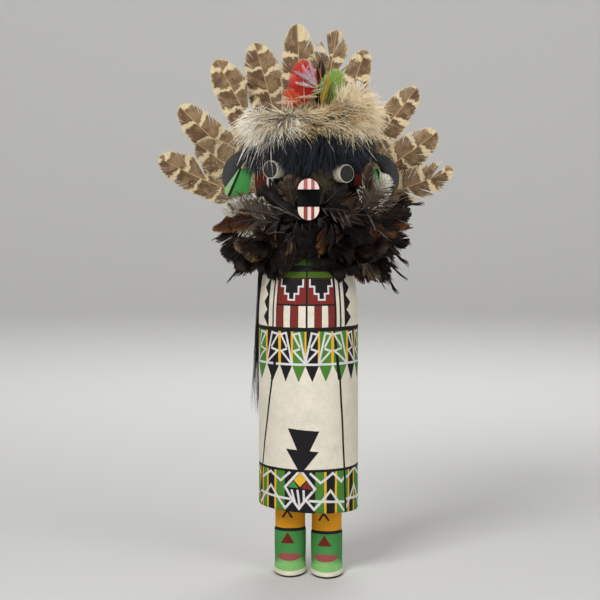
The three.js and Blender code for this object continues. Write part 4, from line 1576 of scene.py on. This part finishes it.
def fur_place(u, v):
    turn = (2 * u - 1) * FUR_SPAN
    left, right = clump(turn, -46, 22), clump(turn, 54, 26)
    level = 338 + 3 * right - 1.2 * clump(turn, -18, 24)
    tube = 5.4 + 1.0 * left + 3.4 * right
    lift = math.radians(-55 + 175 * v)
    return round_place(turn, 37.5 + tube * math.cos(lift), level + tube * math.sin(lift))


def fur_comb(u, v):
    """Hangs over the left temple, sweeps across the brow to the right and stands up there."""
    turn = (2 * u - 1) * FUR_SPAN
    left, middle, right = clump(turn, -48, 32), clump(turn, 2, 24), clump(turn, 50, 32)
    sideways = -0.3 * left + 1.1 * middle + 0.25 * right
    upward = -1.0 * left * (1 - 0.6 * v) + (0.9 * v - 0.1) * middle + (1.5 * v - 0.45) * right
    return round_heading(turn, 0.36, sideways, upward)


def fur_reach(u, v):
    turn = (2 * u - 1) * FUR_SPAN
    return (11 + 8 * clump(turn, -44, 24) + 10 * clump(turn, 52, 28) * (0.5 + 0.8 * v)) * MM


def fur_parting(face):
    """True where the strip gapes open over the brow and shows no fur."""
    row, column = divmod(face[0], FUR_COLUMNS + 1)
    u, v = column / FUR_COLUMNS, row / FUR_ROWS
    turn = (2 * u - 1) * FUR_SPAN
    return ((turn - 6) / 22) ** 2 + ((v - 0.36) / 0.13) ** 2 < 1


def fur_tones(found):
    """Brown roots; tips white over the left temple, golden on the brow and cream at the right."""
    across = (found["root"][:, 0] - AXIS_X) / MM
    patch = np.array([noise.noise(Vector(root) * 130) for root in found["root"][:, :3]])
    gold = np.exp(-((across - 8) / 20) ** 2) * 0.7 + np.clip(patch * 1.8, -0.4, 0.6)
    tip = blend_tones(FUR_CREAM[:3], FUR_GOLD[:3], gold)
    white = np.clip(0.7 * np.exp(-((across + 30) / 16) ** 2) - patch + found["luck"] - 0.6, 0, 1)
    tip = tip * (1 - white[:, None]) + np.array(FUR_WHITE[:3])[None, :] * white[:, None]
    start = 0.05 + 0.25 * np.clip(patch * 2 + gold, 0, 1)
    share = np.clip((found["rise"] - start) / 0.42, 0, 1)[:, None]
    tone = np.array(FUR_ROOT[:3])[None, :] * (1 - share) + tip * share
    return tone * (0.95 + 0.5 * found["luck"][:, None])


fur_pieces = []
for name, values in (
        ("fur_strip", {"Density": 1.9e6, "Segments": 5, "Thickness": 0.00021, "Mess": 0.6,
                       "Tuft Pull": 1.7, "Tuft Scale": 130.0, "Droop": 0.2, "Seed": 11}),
        ("guard_hairs", {"Density": 1.6e5, "Segments": 7, "Thickness": 0.00024, "Mess": 0.8,
                         "Tuft Pull": 1.1, "Tuft Scale": 60.0, "Droop": 0.35, "Seed": 12})):
    lengthen = 1.45 if name == "guard_hairs" else 1.0
    skin = skin_grid(FUR_COLUMNS, FUR_ROWS, fur_place, fur_comb,
                     lambda u, v: fur_reach(u, v) * lengthen, fur_parting)
    fur, found = strands(name, skin, {**values, "Strand": FUR})
    write_tones(fur.data, fur_tones(found))
    fur_pieces.append(fur)
build = bmesh.new()
for fur in fur_pieces:
    build.from_mesh(fur.data)
fur = fur_pieces[0]
build.to_mesh(fur.data)
build.free()
bpy.data.objects.remove(fur_pieces[1])
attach(fur, "root")
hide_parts("fur_band")


# ---- Feather ruff ----
# Soft brown-black feathers bound in a collar round the neck in overlapping rows, their tips
# spread over the cheeks and shoulders. A few are rusty, ochre-edged or grey and downy.

RUFF_TONES = {
    # kind: colour at the foot, in the middle and along the rim
    "dark": ("070503", "140d08", "2e2219"),
    "black": ("040302", "0b0705", "1c140e"),
    "olive": ("17140c", "37301f", "524732"),
    "tan": ("15100b", "34281e", "6a5948"),
    "rust": ("150b06", "3b200f", "664024"),
    "ochre": ("130d09", "2a1e16", "6f5c30"),
    "grey": ("241c15", "4a3f33", "c8c4b6"),
    "pale": ("6e675a", "9a9282", "b5ad9c"),
}
RUFF_STYLES = {
    # style: length, breadth (mm), options; firm feathers hold together, loose ones have parted
    "firm": (48, 21, {"barbs": 70, "overlap": 2.4, "lean": (1.0, 0.62), "blunt": 4.2,
                      "unevenness": 0.16, "bend": 0.003, "wander": 0.1, "longest": 1.7}),
    "loose": (48, 22, {"barbs": 60, "overlap": 1.8, "lean": (0.95, 0.55), "blunt": 4.0,
                       "unevenness": 0.26, "bend": 0.005, "wander": 0.2, "longest": 1.7}),
    "downy": (48, 24, {"barbs": 76, "overlap": 1.7, "lean": (1.15, 0.75), "blunt": 5.0,
                       "unevenness": 0.3, "bend": 0.002}),
    "thread": (20, 1.0, {"barbs": 8, "overlap": 0.35, "lean": (0.16, 0.08), "blunt": 2.0,
                         "unevenness": 0.3, "bend": 0.0001, "longest": 6}),
}
ruff_rng = np.random.default_rng(31)
RUFF_STOCK = {}
for style, (length, breadth, options) in RUFF_STYLES.items():
    RUFF_STOCK[style] = []
    for number in range(3):
        splits = [(side, float(ruff_rng.uniform(0.3, 0.85)), float(ruff_rng.uniform(0.15, 0.5)))
                  for side in ("l", "r", "l", "r")[:4 if style == "loose" else 2]]
        RUFF_STOCK[style].append(FeatherStock(length * MM, breadth * MM, length * 0.05 * MM, {
            "segments": 5, "seed": 130 + number, "splits": splits, "shaft": 0.0004,
            "roll": 0.24, **options}))
RUFF_VANE = dyed_vane("ruff vane", 0.12, 0, 0)
DARK_QUILL = quill_material("dark quill", pigment("3a2c20"))


def ruff_feather(foot, tip, facing, kind, style, breadth, rng, droop=0.16, cup=0.3):
    """A feather from foot to tip (mm in the figure's frame), with its own curl and colour."""
    stock = RUFF_STOCK[style][int(rng.integers(0, 3))]
    foot, tip = np.array(foot, float) * MM, np.array(tip, float) * MM
    size = np.linalg.norm(tip - foot) / stock.length
    rim_from, tip_from = (0.995, 0.5) if kind == "grey" else (0.7, 0.86)
    tone = barb_tones(stock, RUFF_TONES[kind], rng, 0.5, rim_from, tip_from)
    places = stock.laid(foot, tip - foot, facing, size, droop=droop, cup=cup,
                        bow=rng.uniform(-0.14, 0.14), twist=rng.uniform(-0.5, 0.5),
                        ruffle=rng.uniform(0.06, 0.2), phase=rng.uniform(0, 6),
                        broad=breadth * MM / (stock.width * size))
    return stock, places, tone


def collar_row(sheets, count, start, radius, level, elevation, length, rng, gap):
    """One row of feathers round the neck; elevation(turn) gives how far each tip points up."""
    for i in range(count):
        turn = start + 360 * i / count + rng.uniform(-6, 6)
        turn = (turn + 180) % 360 - 180
        if gap[0] < turn < gap[1]:
            continue
        tilt = math.radians(elevation(turn) + rng.uniform(-9, 9))
        reach = length * rng.uniform(0.84, 1.0) * (0.93 + 0.09 * math.sin(math.radians(turn)))
        foot = round_place(turn + rng.uniform(-4, 4), radius, level + rng.uniform(-2, 2)) / MM
        heading = round_heading(turn, math.cos(tilt), rng.uniform(-0.2, 0.2), math.sin(tilt))
        facing = round_heading(turn, -math.sin(tilt), 0.0, math.cos(tilt))
        facing += Vector((0, -1.5 if abs(turn) < 112 else 1.2, 0))
        kind = rng.choice(["dark", "black", "olive", "tan", "rust", "ochre"],
                          p=[0.38, 0.36, 0.08, 0.1, 0.05, 0.03])
        style = "loose" if rng.uniform() < 0.35 else "firm"
        sheets.append(ruff_feather(foot, foot + heading * reach, facing, kind, style,
                                   rng.uniform(19, 24), rng, droop=rng.uniform(0.05, 0.25),
                                   cup=rng.uniform(0.15, 0.45)))


def side_mix(front, side, back):
    def elevation(turn):
        facing = math.cos(math.radians(turn))
        ends = front if facing > 0 else back
        return side + (ends - side) * abs(facing)
    return elevation


# feathers laid over the cheeks and chest: where the quill starts and the tip ends
# (across and up, mm), breadth, kind, how many lie under it, style
SPREAD = [
    (-8, 277, -16, 298, 19, "tan", 1, "loose"), (-6, 280, -23, 292, 17, "dark", 1, "loose"),
    (-3, 267, -38, 288, 22, "dark", 3, "firm"), (-18, 267, -57, 282, 21, "tan", 2, "loose"),
    (-22, 271, -62, 279, 22, "grey", 1, "downy"), (-25, 265, -58, 263, 21, "grey", 2, "downy"),
    (-35, 268, -70, 261, 14, "rust", 0, "firm"), (-26, 262, -66, 256, 20, "dark", 0, "loose"),
    (-26, 258, -59, 242, 20, "black", 0, "loose"), (-19, 266, -48, 244, 24, "ochre", 3, "firm"),
    (-15, 272, -43, 264, 19, "dark", 2, "loose"), (-11, 262, -37, 253, 17, "black", 3, "loose"),
    (-15, 260, -33, 242, 17, "dark", 2, "loose"), (-10, 258, -27, 236, 16, "dark", 3, "loose"),
    (-8, 256, -21, 228, 13, "dark", 4, "firm"), (-10, 255, -16, 242, 10, "ochre", 4, "loose"),
    (-2, 264, -5, 243, 19, "black", 2, "loose"), (-6, 266, -13, 244, 17, "black", 3, "loose"),
    (10, 277, 19, 305, 25, "olive", 1, "firm"), (14, 279, 31, 293, 18, "dark", 1, "loose"),
    (13, 275, 46, 284, 20, "tan", 2, "loose"), (41, 274, 61, 300, 22, "grey", 2, "downy"),
    (36, 275, 69, 288, 24, "tan", 2, "loose"), (45, 288, 47, 308, 9, "tan", 1, "loose"),
    (14, 275, 45, 275, 20, "dark", 3, "loose"), (37, 275, 80, 277, 21, "dark", 2, "loose"),
    (36, 271, 79, 267, 21, "black", 2, "firm"), (35, 268, 76, 259, 21, "rust", 1, "loose"),
    (33, 266, 72, 252, 22, "black", 2, "loose"), (22, 269, 54, 255, 18, "tan", 4, "firm"),
    (29, 264, 65, 247, 20, "dark", 3, "loose"), (27, 261, 63, 237, 22, "dark", 3, "firm"),
    (25, 256, 59, 231, 17, "tan", 3, "loose"), (24, 254, 48, 226, 20, "black", 3, "loose"),
    (22, 259, 39, 244, 15, "rust", 4, "firm"), (21, 264, 34, 243, 17, "black", 3, "loose"),
    (15, 264, 16, 243, 12, "rust", 3, "loose"), (19, 264, 23, 240, 12, "dark", 4, "loose"),
    (4, 268, 3, 247, 19, "black", 1, "loose"),
]
# bare pale quills and single barbs that stand clear: start and end, across and up
THREADS = [
    (12, 276, 17, 270), (18, 274, 22, 265), (23, 275, 31, 259), (28, 273, 35, 261),
    (45, 272, 52, 260), (52, 260, 64, 251), (68, 267, 78, 262), (-30, 270, -57, 275),
    (-15, 258, -49, 258), (-30, 267, -43, 273), (-9, 270, -26, 280),
]


def over_face(start_x, start_z, end_x, end_z, lift):
    """Foot and tip of a feather that lies on the face and falls back past the cheeks."""
    front = AXIS_Y / MM - 43 - lift
    fall = 0.33 * abs(end_x - start_x)
    return (start_x, front, start_z), (end_x, front + fall, end_z)


sheets = []
for i, (start_x, start_z, end_x, end_z, breadth, kind, layer, style) in enumerate(SPREAD):
    foot, tip = over_face(start_x, start_z, end_x, end_z, 1.3 * layer)
    way = np.sign(end_x - start_x)
    sheets.append(ruff_feather(foot, tip, (0.35 * way, -1, 0.15), kind, style, breadth, ruff_rng))
for start_x, start_z, end_x, end_z in THREADS:
    foot, tip = over_face(start_x, start_z, end_x, end_z, 7.5)
    sheets.append(ruff_feather(foot, tip, (0, -1, 0.2), "pale", "thread", 1.0, ruff_rng))
for turn in list(range(178, 268, 9)) + list(range(-86, 34, 9)):
    slope = math.radians(turn + ruff_rng.uniform(-4, 4))
    way = 1 if abs(turn) < 90 else -1
    reach = 44 + 8 * abs(math.cos(slope)) if way > 0 else 40 + 8 * abs(math.cos(slope))
    reach *= 0.72 if abs(math.cos(slope)) < 0.35 else 1
    start_x, start_z = 9 * way, 268 - 4 * abs(math.sin(slope))
    foot, tip = over_face(start_x, start_z, start_x + math.cos(slope) * reach,
                          start_z + math.sin(slope) * reach, -2)
    sheets.append(ruff_feather(foot, tip, (0.35 * way, -1, 0.15), "black", "firm", 21, ruff_rng))

ruff_nodes = sorted(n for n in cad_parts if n.startswith("ruff_feather_"))
rows = (
    ("ruff_top_row", 17, 9, 29, 256.5, side_mix(8, 18, 8), 46, (-20, 16), ruff_nodes[:10]),
    ("ruff_middle_row", 20, 0, 29, 253, side_mix(-14, -4, -14), 47, (-20, 16), ruff_nodes[10:19]),
    ("ruff_low_row", 20, 6, 29.5, 249, side_mix(-24, -32, -40), 42, (-26, 22), ruff_nodes[19:]),
)
for number, (name, count, start, radius, level, elevation, length, gap, nodes) in enumerate(rows):
    row = sheets[number::3]
    collar_row(row, count, start, radius, level, elevation, length, ruff_rng, gap)
    ruff = feather_group(name, row, (RUFF_VANE, DARK_QUILL))
    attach(ruff, "root")
    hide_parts(*nodes)


# ---- Studio: floor, lights and camera ----
# A plain pale floor and soft lights, with the camera at the height of the doll's hair.

BOWL_SIDES = 96

floor_mesh = bpy.data.meshes.new("floor")
bowl_rows = [(0.0, 0.0), (2.4, 0.0)]
for bend in np.linspace(0.1, 1.57, 14):
    bowl_rows.append((2.4 + 0.9 * math.sin(bend), 0.9 - 0.9 * math.cos(bend)))
bowl_rows.append((3.35, 3.2))
bowl_corners, bowl_faces = [], []
for row, (radius, height) in enumerate(bowl_rows):
    for i in range(BOWL_SIDES):
        turn = 2 * math.pi * i / BOWL_SIDES
        bowl_corners.append((math.cos(turn) * radius, math.sin(turn) * radius, height))
        if row:
            j = (i + 1) % BOWL_SIDES
            a, b = (row - 1) * BOWL_SIDES, row * BOWL_SIDES
            bowl_faces.append((a + i, a + j, b + j, b + i))
floor_mesh.from_pydata(bowl_corners, [], bowl_faces)
floor_mesh.shade_smooth()
floor_mesh.materials.append(new_material("floor paper", {
    "Base Color": (0.74, 0.735, 0.72, 1), "Roughness": 0.9})[0])
placed("floor", floor_mesh)

world = bpy.data.worlds.new("studio")
world.use_nodes = True
world.node_tree.nodes["Background"].inputs["Color"].default_value = (0.86, 0.86, 0.86, 1)
world.node_tree.nodes["Background"].inputs["Strength"].default_value = 0.22
bpy.context.scene.world = world


def aim(stand, place, target):
    stand.location = place
    stand.rotation_euler = (Vector(target) - Vector(place)).to_track_quat("-Z", "Y").to_euler()


for name, place, size, power, target in (
        ("key", (-0.7, -1.3, 1.25), 0.7, 20, (0, 0, 0.22)),
        ("fill", (1.1, -1.3, 0.7), 1.0, 9, (0, 0, 0.22)),
        ("rim", (0.2, 1.2, 1.4), 0.8, 8, (0, 0, 0.22)),
        ("backdrop", (0, 0.8, 1.9), 1.4, 20, (0, 3.2, 1.1))):
    lamp = bpy.data.lights.new(name, "AREA")
    lamp.shape, lamp.size, lamp.energy = "SQUARE", size, power
    aim(placed(name, lamp), place, target)
bpy.context.scene.view_settings.view_transform = "Standard"

CAMERA_BACK = 1.5
CAMERA_HEIGHT = 0.32
camera_data = bpy.data.cameras.new("camera")
camera_data.sensor_width = 36
camera_data.lens = 120
camera = placed("camera", camera_data)
aim(camera, (AXIS_X, -CAMERA_BACK, CAMERA_HEIGHT), (AXIS_X - 0.0064, 0, 0.205))
bpy.context.scene.camera = camera
